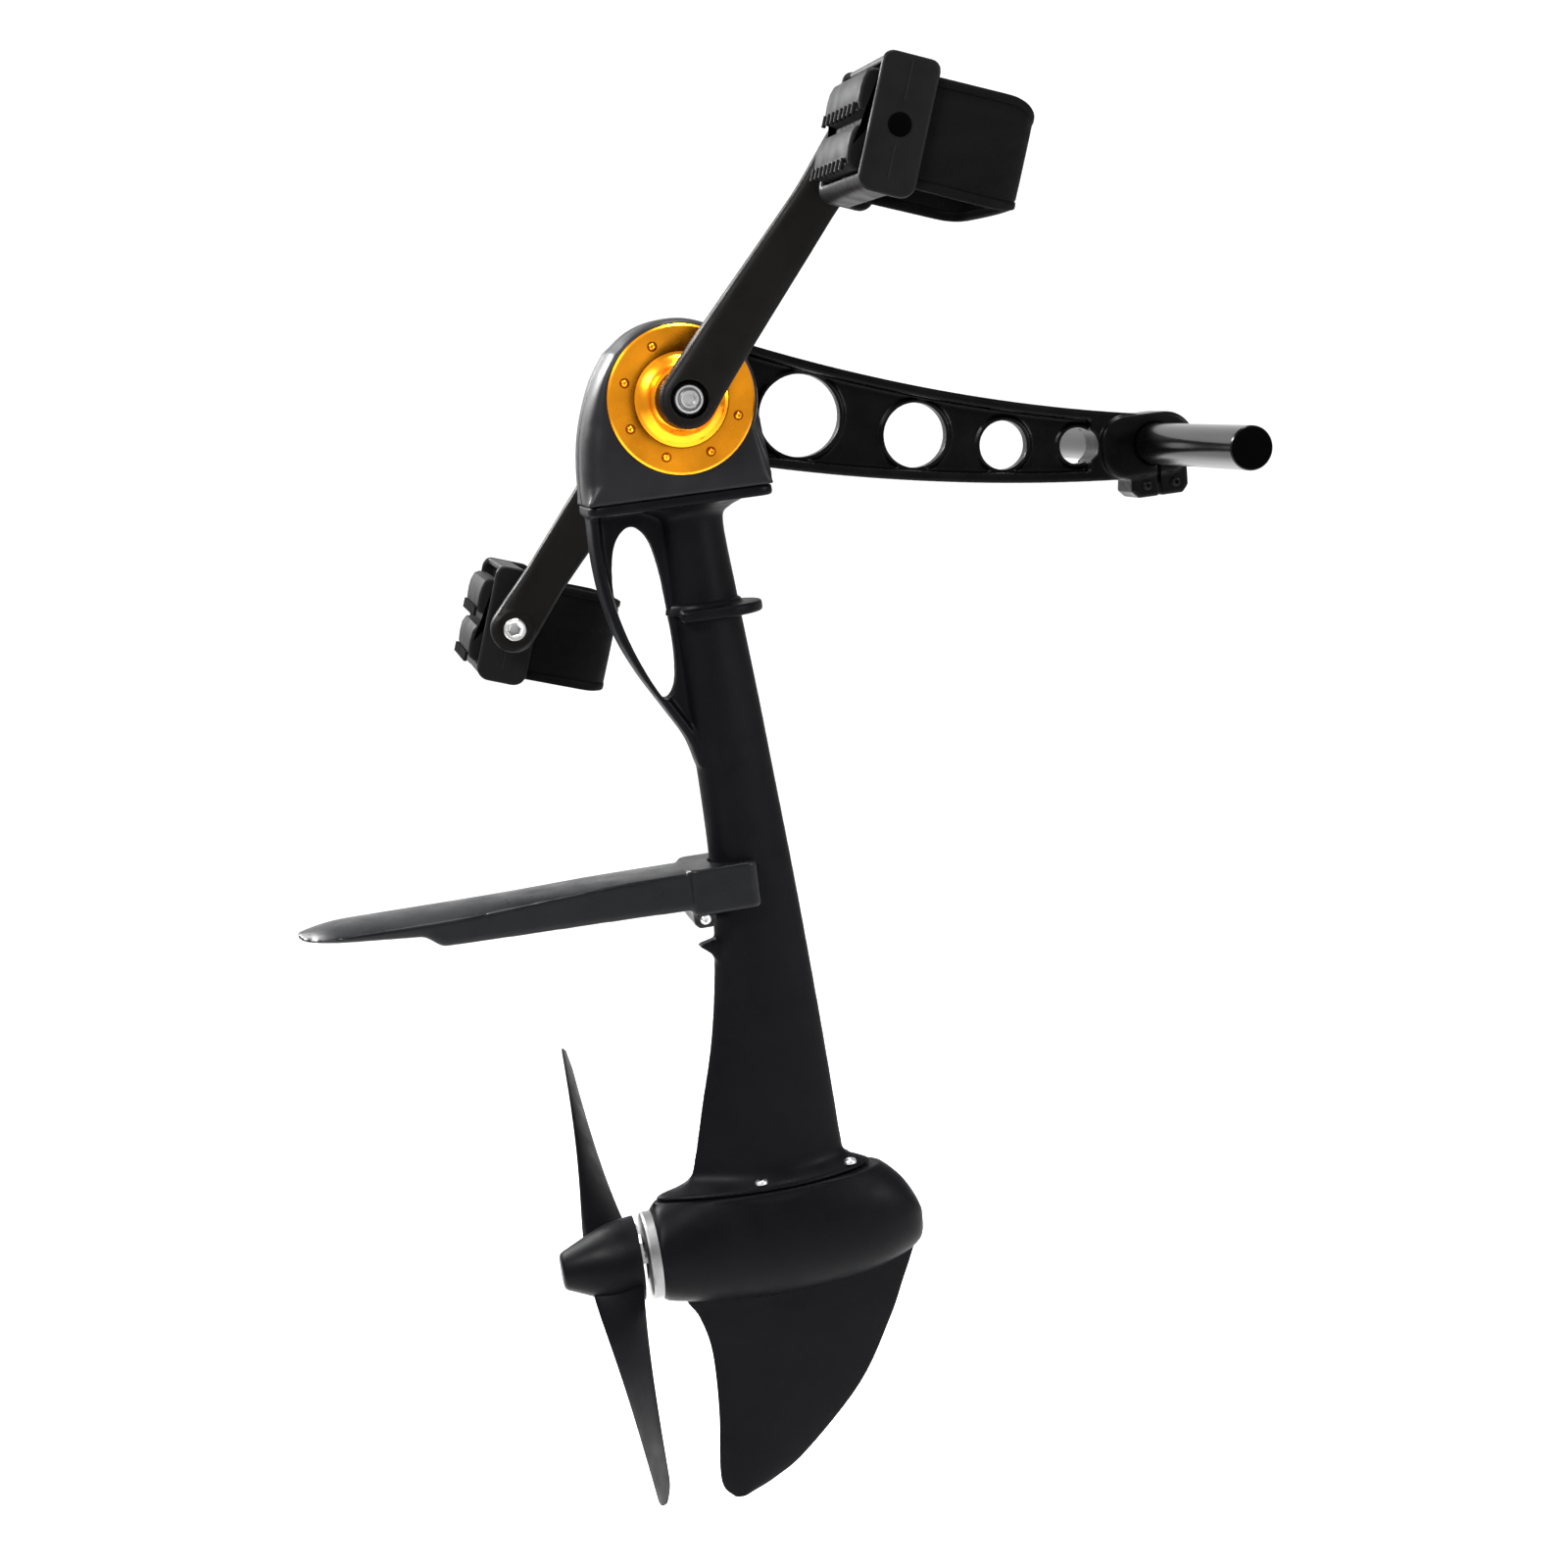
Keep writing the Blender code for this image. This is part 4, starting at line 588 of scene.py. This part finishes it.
def build_leg():
    leg = loft("leg", [leg_section(s) for s in curve_through(LEG, 5)])
    edge = handle_edge()
    web = pillow("web", [(p.x, p.y) for p in edge] + [(-0.004, -0.235), (-0.004, -0.062)], -0.0062, 0.0062)
    thick = 0.0068
    sections = []
    for i, p in enumerate(edge):
        ahead = edge[min(i + 1, len(edge) - 1)]
        behind = edge[max(i - 1, 0)]
        along = (ahead - behind).normalized()
        inward = Vector((-along.y, along.x))
        half = 0.0150 - 0.0050 * i / (len(edge) - 1)
        middle = p + inward * (thick / 2)
        ring = []
        for k in range(24):
            a = 2 * pi * k / 24
            spot = middle + inward * (thick / 2 * squared(sin(a), 0.6))
            ring.append((spot.x, half * squared(cos(a), 0.6), spot.y))
        sections.append(ring)
    spine = loft("spine", sections)
    outline = rounded_box(-0.0534, 0.0400, 0.0190, 0.0098, 0.0098, 8)
    flange = pillow("flange", outline, -0.0630, CASING_FLOOR - 0.0003, 0.0010, 0.0008, up="z")
    spur = pillow("spur", [(-0.0290, -0.3355), (-0.0100, -0.3310), (-0.0100, -0.3540), (-0.0172, -0.3505),
                           (-0.0212, -0.3420)], -0.0055, 0.0055, 0.001, 0.001)
    hole = curve_through([(-0.0375, -0.0722), (-0.0275, -0.0800), (-0.0225, -0.1000), (-0.0205, -0.1250),
                          (-0.0195, -0.1500), (-0.0215, -0.1700), (-0.0275, -0.1788), (-0.0330, -0.1745),
                          (-0.0440, -0.1500), (-0.0510, -0.1250), (-0.0520, -0.1020), (-0.0475, -0.0810)],
                         5, True)
    hand = pillow("hand", hole, -0.040, 0.040)
    casting = cast("leg", [leg, web, spine, flange, spur], [hand], grain=0.0010, rounds=6)
    place(casting, "frame", BLACK, "black_casting", "leg_casting")

    rim = arc((0.0120, 0), 0.0262, -78, 78, 30) + arc((-0.0110, 0.0200), 0.0040, 100, 180, 5)
    rim += arc((-0.0110, -0.0200), 0.0040, 180, 260, 5)
    plate = pillow("collar_plate", rim, -0.1330, -0.1262, 0.0016, 0.0016, up="z")
    section = leg_section((0, -0.0192, 0.0242, 0.0186, 0))
    neck = loft("collar_neck", [[(p[0] * grow, p[1] * grow, z) for p in section]
                                for z, grow in ((-0.1290, 1.14), (-0.1240, 1.07), (-0.1225, 1.01))])
    collar = cast("collar", [plate, neck], grain=0.0008, rounds=4)
    place(collar, "frame", BLACK, "black_casting", "deck_collar")


# ---------------------------------------------------------------- slot cover
COVER_TIP = low("slot_cover_plate").x
COVER_TOP = -0.2846
COVER_HALF = 0.0285               # half width of the leaf at its widest
COVER_NOSE = 0.035                # length of the rounded tip
COVER_MIDDLE = -0.190             # x where the leaf starts to narrow and to flatten
KEEL_START = -0.1980


def leaf_half_width(x):
    """Plan of the leaf: a blunt round tip, full width, then drawn in a little towards the leg."""
    nose = min(1.0, max(0.0, 1.0 - (x - COVER_TIP) / COVER_NOSE))
    return (COVER_HALF - 0.0070 * ease((x - COVER_MIDDLE) / 0.150)) * sqrt(1.0 - nose ** 2.5) + 0.0003


def leaf_section(x, count=16):
    """A crowned top with a crisp edge, an upright wall and a flat underside."""
    half = leaf_half_width(x)
    crown = (0.0010 + 0.0038 * (1 - ease((x - COVER_MIDDLE) / 0.130))) * min(1.0, half / 0.0200)
    top = COVER_TOP - 0.0030 * max(0.0, 1 - (x - COVER_TIP) / 0.030) ** 2
    before_keel = min(1.0, (x - COVER_TIP) / (KEEL_START - COVER_TIP))
    wall = (0.0012 + 0.0064 * before_keel) * min(1.0, 0.3 + half / 0.0150)
    wall += ease((x - KEEL_START) / 0.014) * (0.0075 + 0.0055 * (x - KEEL_START) / 0.19)
    foot = COVER_TOP - 0.0048 - wall
    ring = [(x, half * k / count, top - crown * abs(k / count) ** 2.2) for k in range(-count, count + 1)]
    under = [(x, half * 0.985, foot + 0.0030), (x, half * 0.960, foot + 0.0010), (x, half * 0.900, foot),
             (x, half * 0.450, foot)]
    return ring + under + [(x, -y, z) for x, y, z in reversed(under)]


def build_slot_cover():
    count = 110
    start = COVER_TIP + 0.0002
    xs = [start + (-0.0120 - start) * (i / count) ** 1.5 for i in range(count + 1)]
    leaf = loft("leaf", [leaf_section(x) for x in xs])
    outline = rounded_box(-0.0260, 0.0050, 0.0202, 0.0060, 0.0060, 6)
    yoke = pillow("yoke", outline, -0.3125, -0.2834, 0.0022, 0.0014, up="z")
    tab = [(-0.0320, -0.3080), (-0.0320, -0.3180), (-0.0290, -0.3210), (-0.0200, -0.3210), (-0.0178, -0.3180),
           (-0.0178, -0.3080)]
    tabs = pillow("tab", tab, -0.0220, 0.0220, 0.0012, 0.0012)
    seat = loft("seat", [leg_section((z, -0.0158, fore, 0.0181, 0.2))
                         for z, fore in ((-0.270, 0.0358), (-0.335, 0.0400))])
    cover = cast("slot_cover", [leaf, yoke, tabs], [seat], grain=0.0009, rounds=3)
    place(cover, "frame", PLATE, "plate_plastic", "slot_cover_plate")
    for side, label in SIDES:
        head = screw(label + "_tab_screw", (-0.0250, side * 0.0218, -0.3150), (0, side, 0), 0.0036, 0.0026)
        place(head, "frame", STEEL, "stainless", label + "_cover_screw")


# ---------------------------------------------------------------- lower gearcase and skeg
GEARCASE = [                      # x, top, bottom, half width
    (GEARCASE_AFT, -0.5007, -0.5570, 0.0281), (-0.0770, -0.4958, -0.5595, 0.0284),
    (-0.0660, -0.4915, -0.5620, 0.0287), (-0.0500, -0.4860, -0.5650, 0.0293),
    (-0.0250, -0.4790, -0.5680, 0.0303), (0.0050, -0.4770, -0.5692, 0.0308),
    (0.0350, -0.4790, -0.5675, 0.0298), (0.0550, -0.4850, -0.5645, 0.0270),
    (0.0700, -0.4945, -0.5605, 0.0228), (0.0820, -0.5070, -0.5560, 0.0170),
    (0.0895, -0.5205, -0.5510, 0.0105), (0.0925, -0.5310, -0.5450, 0.0045),
]
SKEG = [                          # height, aft edge, fore edge, half thickness
    (-0.5400, -0.0700, 0.0902, 0.0060), (-0.5500, -0.0690, 0.0872, 0.0064),
    (-0.5640, -0.0655, 0.0812, 0.0066), (-0.5760, -0.0590, 0.0755, 0.0060),
    (-0.6000, -0.0540, 0.0640, 0.0052), (-0.6400, -0.0548, 0.0390, 0.0046),
    (-0.6780, -0.0590, -0.0010, 0.0040), (-0.6920, -0.0580, -0.0235, 0.0035),
    (-0.6995, -0.0520, -0.0420, 0.0028),
]


def nacelle_section(station, count=64):
    x, top, bottom, half = station
    ring = []
    for i in range(count):
        a = 2 * pi * i / count
        up = sin(a)
        rise = top - PROPELLER.z if up > 0 else PROPELLER.z - bottom
        ring.append((x, half * cos(a), PROPELLER.z + rise * up))
    return ring


def skeg_section(station, count=48):
    height, aft, fore, half = station
    middle = (aft + fore) / 2
    reach = (fore - aft) / 2
    turn = [2 * pi * i / count for i in range(count)]
    return [(middle + reach * cos(a), half * sin(a) * (1 - 0.35 * cos(a) ** 2), height) for a in turn]


def build_gearcase():
    nacelle = loft("nacelle", [nacelle_section(s) for s in curve_through(GEARCASE, 6)])
    skeg = loft("skeg", [skeg_section(s) for s in curve_through(SKEG, 6)])
    ledge = loft("ledge", [leg_section((z, -0.0790, 0.0640, 0.0262, 0.30))
                           for z in (-0.5060, -0.4985, -0.4942)])
    joint = FOOT_BOTTOM - 0.0006
    top = pillow("top", [(-0.12, joint), (0.12, joint), (0.12, -0.40), (-0.12, -0.40)], -0.060, 0.060)
    bore = rod("bore", (GEARCASE_AFT - 0.030, 0, PROPELLER.z), (1, 0, 0), 0.0225, 0.100, 64)
    shell = cast("shell", [nacelle, ledge], [top, bore], grain=0.0010, rounds=6)
    case = joined("gearcase", [shell, skeg])
    place(case, "frame", BLACK, "black_casting", "lower_gearcase")
    for i in range(4):
        node = "gearcase_screw_%d" % (i + 1)
        centre = (low(node) + high(node)) / 2
        seat = (centre.x, centre.y, high(node).z - 0.0018)
        head = screw("foot_screw_%d" % (i + 1), seat, (0, 0, 1), 0.0042, 0.0026)
        place(head, "frame", STEEL, "stainless", node)
    ring = [(0.0150, -0.0880), (0.0258, -0.0880), (0.0272, -0.0875), (0.0279, -0.0864),
            (0.0279, GEARCASE_AFT), (0.0222, GEARCASE_AFT), (0.0222, -0.0520), (0.0170, -0.0520),
            (0.0170, -0.0650), (0.0100, -0.0650), (0.0100, -0.0855), (0.0150, -0.0880)]
    carrier = turned("bearing_carrier", ring, (1, 0, 0), (0, 0, PROPELLER.z), 96, 25)
    place(carrier, "frame", CARRIER, "stainless", "propeller_bearing_carrier")


# ---------------------------------------------------------------- cranks
HUB_RADIUS = 0.0175
HUB_OUT = 0.0625
EYE_RADIUS = 0.0150
EYE_IN = 0.0710
SPINDLE_SHOULDER = 0.0920
SPINDLE_END = 0.1885


def crank_slice(z, half_width, middle, half_thick, side, count=40):
    turn = [2 * pi * i / count for i in range(count)]
    return [(half_width * squared(cos(a), 0.55), side * (middle + half_thick * squared(sin(a), 0.55)), z)
            for a in turn]


def build_cranks():
    hub_in, eye_out = low("port_crank").y, high("port_crank").y
    hub_middle, hub_half = (hub_in + HUB_OUT) / 2, (HUB_OUT - hub_in) / 2
    eye_middle, eye_half = (EYE_IN + eye_out) / 2, (eye_out - EYE_IN) / 2
    for side, label in SIDES:
        slices = []
        for i in range(13):
            a = radians(84 - 7 * i)
            slices.append(crank_slice(-HUB_RADIUS * sin(a), HUB_RADIUS * cos(a), hub_middle, hub_half, side))
        for i in range(1, 24):
            t = i / 24
            flare = ease(t)
            half_width = 0.0172 - 0.0047 * t + 0.0120 * t * max(0, t - 0.8)
            middle = hub_middle + (eye_middle - hub_middle) * flare
            half_thick = hub_half + (eye_half - hub_half) * flare - 0.0012 * sin(pi * t)
            height = 0.002 + (CRANK_LENGTH - 0.008) * t
            slices.append(crank_slice(height, half_width, middle, half_thick, side))
        for i in range(13):
            a = radians(7 * i)
            height = CRANK_LENGTH + EYE_RADIUS * sin(a)
            slices.append(crank_slice(height, EYE_RADIUS * cos(a), eye_middle, eye_half, side))
        arm = loft("crank_arm", slices)
        pad = turned("pad", [(0, EYE_IN - 0.0004), (0.0118, EYE_IN - 0.0004), (0.0130, EYE_IN + 0.0008),
                             (0.0130, eye_out - 0.0010), (0.0122, eye_out), (0, eye_out)], (0, side, 0),
                     (0, 0, CRANK_LENGTH), 64)
        recess = rod("recess", (0, side * 0.0640, 0), (0, 1, 0), 0.0114, 0.0195, 64)
        spindle_hole = rod("hole", (0, side * eye_middle, CRANK_LENGTH), (0, 1, 0), 0.0076, 0.05, 64)
        crank = cast(label + "_crank_arm", [arm, pad], [recess, spindle_hole], grain=0.0007, rounds=4)
        angle = CRANK_ANGLE if side < 0 else CRANK_ANGLE + pi
        turn = Matrix.Rotation(angle, 4, "Y")
        place(crank, "crankset", GREY, "grey_crank_alloy", label + "_crank", matrix=turn)

        shape = [(0, 0.0548), (0.0088, 0.0548), (0.0088, 0.0586), (0.0081, 0.0594), (0.0070, 0.0595),
                 (0.0065, 0.0585), (0.0060, 0.0596), (0.0052, 0.0608), (0.0040, 0.0608), (0.0034, 0.0600),
                 (0.0030, 0.0578), (0, 0.0578)]
        bolt = turned(label + "_bolt", shape, (0, side, 0), count=64, smooth=25)
        place(bolt, "crankset", STEEL, "stainless", label + "_crank_bolt")
        shape = [(0, EYE_IN - 0.0010), (0.0064, EYE_IN - 0.0010), (0.0072, EYE_IN - 0.0002),
                 (0.0072, eye_out + 0.0003), (0.0092, eye_out + 0.0003), (0.0092, SPINDLE_SHOULDER),
                 (0.0060, SPINDLE_SHOULDER), (0.0060, SPINDLE_END), (0, SPINDLE_END)]
        spindle = turned(label + "_spindle", shape, (0, side, 0), (0, 0, CRANK_LENGTH), 64, 25)
        cut(spindle, [rod("hex", (0, side * EYE_IN, CRANK_LENGTH), (0, 1, 0), 0.0036, 0.012, 6)])
        place(spindle, "crankset", STEEL, "stainless", label + "_pedal_spindle", matrix=turn)


# ---------------------------------------------------------------- pedals and toe straps
PEDAL_HALF_DEPTH = 0.0162
PEDAL_HALF_HEIGHT = 0.0372
END_PLATE = 0.0042                # thickness of a pedal's end plate
STRAP_THICK = 0.0030
STRAP_REACH_OUT = 0.0765
STRAP_REACH_IN = 0.0690
STRAP_CORNER = 0.0180


def strap_path(side):
    """Line of the strap's middle: out from one end plate, across in front of the foot, and back."""
    half = STRAP_THICK / 2
    reach_out = STRAP_REACH_OUT - half
    reach_in = STRAP_REACH_IN - half
    corner = STRAP_CORNER - half
    root = 0.0045
    near = PEDAL_IN + 0.0045 + half
    far = PEDAL_OUT - 0.0045 - half
    line = [(root + (reach_out - corner - root) * i / 12, far) for i in range(12)]
    line += arc((reach_out - corner, far - corner), corner, 90, 0, 10)
    line += [(reach_out + (reach_in - reach_out) * i / 14, far - corner - (far - near - 2 * corner) * i / 14)
             for i in range(1, 14)]
    line += arc((reach_in - corner, near + corner), corner, 0, -90, 10)
    line += [(reach_in - corner - (reach_in - corner - root) * i / 12, near) for i in range(1, 13)]
    return [Vector((x, side * y)) for x, y in line]


def strap_profile():
    """Section of the band as (distance off its middle, share of its height), a hem rolled at each edge."""
    upper = [(0.0015, 0), (0.0015, 0.45), (0.0014, 0.80), (0.0008, 0.825), (0.0016, 0.85), (0.0019, 0.89),
             (0.0018, 0.97), (0.0013, 0.99), (0.0004, 1.0)]
    profile = [(half, -level) for half, level in reversed(upper[1:])] + upper
    return profile + [(-half, level) for half, level in reversed(profile)]


def build_strap(side, name):
    path = strap_path(side)
    sections = []
    for i, p in enumerate(path):
        along = (path[min(i + 1, len(path) - 1)] - path[max(i - 1, 0)]).normalized()
        normal = Vector((-along.y, along.x))
        inboard = i / (len(path) - 1)
        front = min(1, max(0, (p.x - 0.0560) / 0.0195))
        drop = 1 - sqrt(1 - front * front)
        top = 0.0298 + 0.0024 * inboard - 0.0100 * drop
        bottom = 0.0300 + 0.0022 * inboard - 0.0060 * drop
        sections.append([(p.x + normal.x * off, p.y + normal.y * off, level * (top if level > 0 else bottom))
                         for off, level in strap_profile()])
    return loft(name, sections, 50)


def build_cage(side, label):
    """The moulded pedal body: two end plates, a barrel, rails and a web between them."""
    radius = 0.0060
    outline = rounded_box(radius - PEDAL_HALF_DEPTH, PEDAL_HALF_DEPTH - radius, PEDAL_HALF_HEIGHT - radius,
                          radius, 0.0085, 8)
    parts = []
    for a, b in ((PEDAL_IN, PEDAL_IN + END_PLATE), (PEDAL_OUT - END_PLATE, PEDAL_OUT)):
        parts.append(pillow("end_plate", outline, *sorted((side * a, side * b)), 0.0011, 0.0011))
    ends = sorted((side * (PEDAL_IN + 0.001), side * (PEDAL_OUT - 0.001)))
    barrel = [(0, PEDAL_IN + 0.001), (0.0125, PEDAL_IN + 0.001), (0.0125, PEDAL_OUT - 0.001),
              (0, PEDAL_OUT - 0.001)]
    parts.append(turned("barrel", barrel, (0, side, 0), count=64))
    parts.append(pillow("web", [(-0.0060, -0.0350), (-0.0020, -0.0350), (-0.0020, 0.0350), (-0.0060, 0.0350)],
                        *ends))
    top_rail = [(-0.0125, 0.0325), (0.0035, 0.0325), (0.0035, 0.0366), (-0.0125, 0.0366)]
    parts.append(pillow("top_rail", top_rail, *ends))
    low_rail = arc((-0.0077, -0.0287), 0.0080, 180, 270, 8) + [(0.0035, -0.0367), (0.0035, -0.0330)]
    low_rail += arc((-0.0077, -0.0287), 0.0043, 270, 180, 8)
    parts.append(pillow("low_rail", low_rail, *ends))
    tooth = [(-0.0150, -0.0290), (-0.0118, -0.0270), (-0.0100, -0.0330), (-0.0135, -0.0345)]
    for i in range(10):
        y = side * (PEDAL_IN + 0.0100 + 0.0090 * i)
        parts.append(pillow("tooth", tooth, y - 0.0016, y + 0.0016))
    bore = rod("bore", (0, side * (PEDAL_IN + 0.045), 0), (0, 1, 0), 0.0098, 0.095, 48)
    cage = cast("cage", parts, [bore], grain=0.0008, rounds=3)
    lines = []
    for start, end in ((0.0125, 0.0345), (-0.0290, -0.0110)):
        strip = [(-0.0004, start), (0.0004, start), (0.0004, end), (-0.0004, end)]
        for face, out in ((PEDAL_OUT, 1), (PEDAL_IN, -1)):
            span = sorted((side * (face - out * 0.0008), side * (face + out * 0.00025)))
            lines.append(pillow("mould_line", strip, *span))
    return joined(label + "_pedal_cage", [cage] + lines)


def tread_outline(face, crown):
    """Two rounded blocks on one base, with a channel over the spindle."""
    block = [(0.0130, 0.0270), (crown - 0.0050, 0.0270), (crown - 0.0020, 0.0252), (crown - 0.0004, 0.0205),
             (crown, 0.0150), (crown - 0.0003, 0.0085), (crown - 0.0022, 0.0042), (0.0158, 0.0030),
             (0.0150, 0.0024)]
    outline = block + [(x, -z) for x, z in reversed(block)]
    return [(face * x, z) for x, z in outline]


def build_tread(side, face, crown):
    ends = sorted((side * (PEDAL_IN + 0.0082), side * (PEDAL_OUT - 0.0082)))
    pad = pillow("pad", tread_outline(face, crown), *ends, 0.0020, 0.0020)
    notches = []
    for edge in (-0.0255, 0.0045):
        for i in range(8):
            y = side * (PEDAL_IN + 0.0150 + 0.0102 * i)
            notches.append(rod("notch", (face * (crown + 0.0002), y, edge), (0, 0, 1), 0.0013, 0.0065, 12))
    return cut(pad, notches)


def build_pedals():
    for side, label in SIDES:
        body = label + "_pedal"
        turn = Matrix.Translation(EYES[side]) @ Matrix.Rotation(PEDAL_LEAN, 4, "Y")
        cage = build_cage(side, label)
        place(cage, body, RESIN, "pedal_resin", label + "_pedal_body", matrix=turn)
        for face, where, crown in ((-1, "aft", 0.0232), (1, "fore", 0.0198)):
            tread = build_tread(side, face, crown)
            tread.name = "%s_tread_%s" % (label, where)
            place(tread, body, TREAD, "tread_rubber", "%s_pedal_tread_%s" % (label, where), matrix=turn)
        shape = [(0, PEDAL_OUT + 0.0012), (0.0050, PEDAL_OUT + 0.0012), (0.0060, PEDAL_OUT + 0.0008),
                 (0.0065, PEDAL_OUT + 0.0001), (0.0065, PEDAL_OUT - 0.0034), (0, PEDAL_OUT - 0.0034)]
        cap = turned(label + "_dust_cap_cover", shape, (0, side, 0), count=64, smooth=25)
        place(cap, body, RUBBER, "pedal_resin", label + "_pedal_dust_cap", matrix=turn)
        strap = build_strap(side, label + "_strap")
        place(strap, body, WEB, "strap_webbing", label + "_toe_strap", matrix=turn)


# ---------------------------------------------------------------- propeller
BLADE_START = 0.0080              # radius inside the hub where a blade begins
BLADE_ROOT = 0.020                # radius at which a blade leaves the hub
TIP_ROUND = 0.93                  # share of the blade's length after which its tip rounds off


def blade_section(radius, sign, count=32):
    """Section at a radius, set to the pitch; sign is 1 for one blade and -1 for the other."""
    t = (radius - BLADE_ROOT) / (PROP_RADIUS - BLADE_ROOT)
    chord = 0.0335 + 0.0060 * t - 0.0155 * t * t
    if t > TIP_ROUND:
        chord *= sqrt(max(0.02, 1 - ((t - TIP_ROUND) / (1 - TIP_ROUND)) ** 2.6 * 0.97))
    thick = 0.0042 * (1 - t) + 0.0016 + 0.004 * max(0, 0.15 - t)
    pitch = atan2(PROP_PITCH, 2 * pi * radius)
    ring = []
    for i in range(count):
        a = 2 * pi * i / count
        u = 0.5 * cos(a)
        v = sin(a) * (0.52 - 0.20 * cos(a)) if sin(a) > 0 else sin(a) * 0.18
        along, across = u * chord, v * thick
        ring.append((along * sin(pitch) + across * cos(pitch),
                     sign * (along * cos(pitch) - across * sin(pitch)), sign * radius))
    return ring


def build_propeller():
    shape = [(0, -0.0325), (0.0095, -0.0325), (0.0112, -0.0318), (0.0124, -0.0300), (0.0162, -0.0215),
             (0.0200, -0.0130), (0.0226, -0.0060), (0.0245, 0.0000), (0.0260, 0.0080), (0.0268, 0.0165),
             (0, 0.0165)]
    hub = turned("hub", shape, (1, 0, 0), count=96)
    radii = [BLADE_START + (PROP_RADIUS - BLADE_START) * (1 - (1 - i / 60) ** 1.6) for i in range(61)]
    blades = []
    for sign in (1, -1):
        blades.append(loft("blade", [blade_section(r, sign) for r in radii], 60))
    prop = joined("propeller_casting", [hub] + blades)
    turn = Matrix.Translation(PROPELLER) @ Matrix.Rotation(-PROP_ANGLE, 4, "X")
    place(prop, "propeller_unit", BLACK, "black_casting", "propeller", matrix=turn)


# ---------------------------------------------------------------- camera, light and floor
FLOOR_DROP = 0.30                 # how far the floor lies below the skeg
LIGHTS = (                        # name, place, power, width
    ("key", (-1.7, -1.3, 1.5), 120, 0.9),
    ("fill", (1.9, -1.7, 0.5), 60, 1.2),
    ("rim", (-1.5, 1.5, 1.0), 120, 0.8),
    ("top", (0.1, 0.1, 2.2), 110, 1.0),
)
CAMERA_PLACE = (-0.54337, -1.56869, 0.09457)
CAMERA_TURNS = ((-0.18123, "Z"), (-0.16990, "X"), (0.12464, "Y"))
LENS = 59.72
SENSOR = 36


def build_stage():
    scene = bpy.context.scene
    floor_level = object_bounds()[0].z - FLOOR_DROP
    # a sweep: flat under the object, then curved up into the wall behind it
    reach, bend = 3.2, 1.6
    profile = [(-9.0, 0.0)] + arc((reach, bend), bend, -90, 0, 24) + [(reach + bend, 9.0)]
    bm = bmesh.new()
    edges = [[bm.verts.new((x, y, z)) for y, z in profile] for x in (-12.0, 12.0)]
    for i in range(len(profile) - 1):
        bm.faces.new((edges[0][i], edges[0][i + 1], edges[1][i + 1], edges[1][i]))
    floor = add("floor", bm)
    floor.location.z = floor_level
    paper = bpy.data.materials.new("paper")
    paper.use_nodes = True
    paper.node_tree.nodes["Principled BSDF"].inputs["Base Color"].default_value = (0.86, 0.86, 0.86, 1)
    paper.node_tree.nodes["Principled BSDF"].inputs["Roughness"].default_value = 0.9
    floor.data.materials.append(paper)

    world = bpy.data.worlds.new("studio")
    scene.world = world
    world.use_nodes = True
    world.node_tree.nodes["Background"].inputs["Color"].default_value = (1.0, 1.0, 1.0, 1)
    world.node_tree.nodes["Background"].inputs["Strength"].default_value = 0.75

    aim = Vector((-0.26, 0, -0.20))
    for name, spot, power, size in LIGHTS:
        light = bpy.data.lights.new(name, "AREA")
        light.energy = power
        light.shape = "RECTANGLE"
        light.size = size
        light.size_y = size * 0.5
        lamp = bpy.data.objects.new(name, light)
        scene.collection.objects.link(lamp)
        lamp.location = spot
        lamp.rotation_mode = "QUATERNION"
        lamp.rotation_quaternion = (aim - Vector(spot)).to_track_quat("-Z", "Y")

    data = bpy.data.cameras.new("camera")
    data.sensor_width = SENSOR
    data.lens = LENS
    camera = bpy.data.objects.new("camera", data)
    scene.collection.objects.link(camera)
    turn = Matrix.Identity(3)
    for angle, axis in CAMERA_TURNS:
        turn = turn @ Matrix.Rotation(angle, 3, axis)
    right, forward, up = turn.col
    basis = Matrix((right, up, -forward)).transposed().to_4x4()
    camera.matrix_world = Matrix.Translation(CAMERA_PLACE) @ basis
    scene.camera = camera
    scene.view_settings.view_transform = "Standard"


slots = {row["node"]: row["material_slot"] for row in frame["record"]["subparts"]}
for node, ob in frame["nodes"].items():
    ob.data.materials.clear()
    ob.data.materials.append(FINISH[slots[node]])
build_head()
build_arm()
build_leg()
build_slot_cover()
build_gearcase()
build_cranks()
build_pedals()
build_propeller()
build_stage()
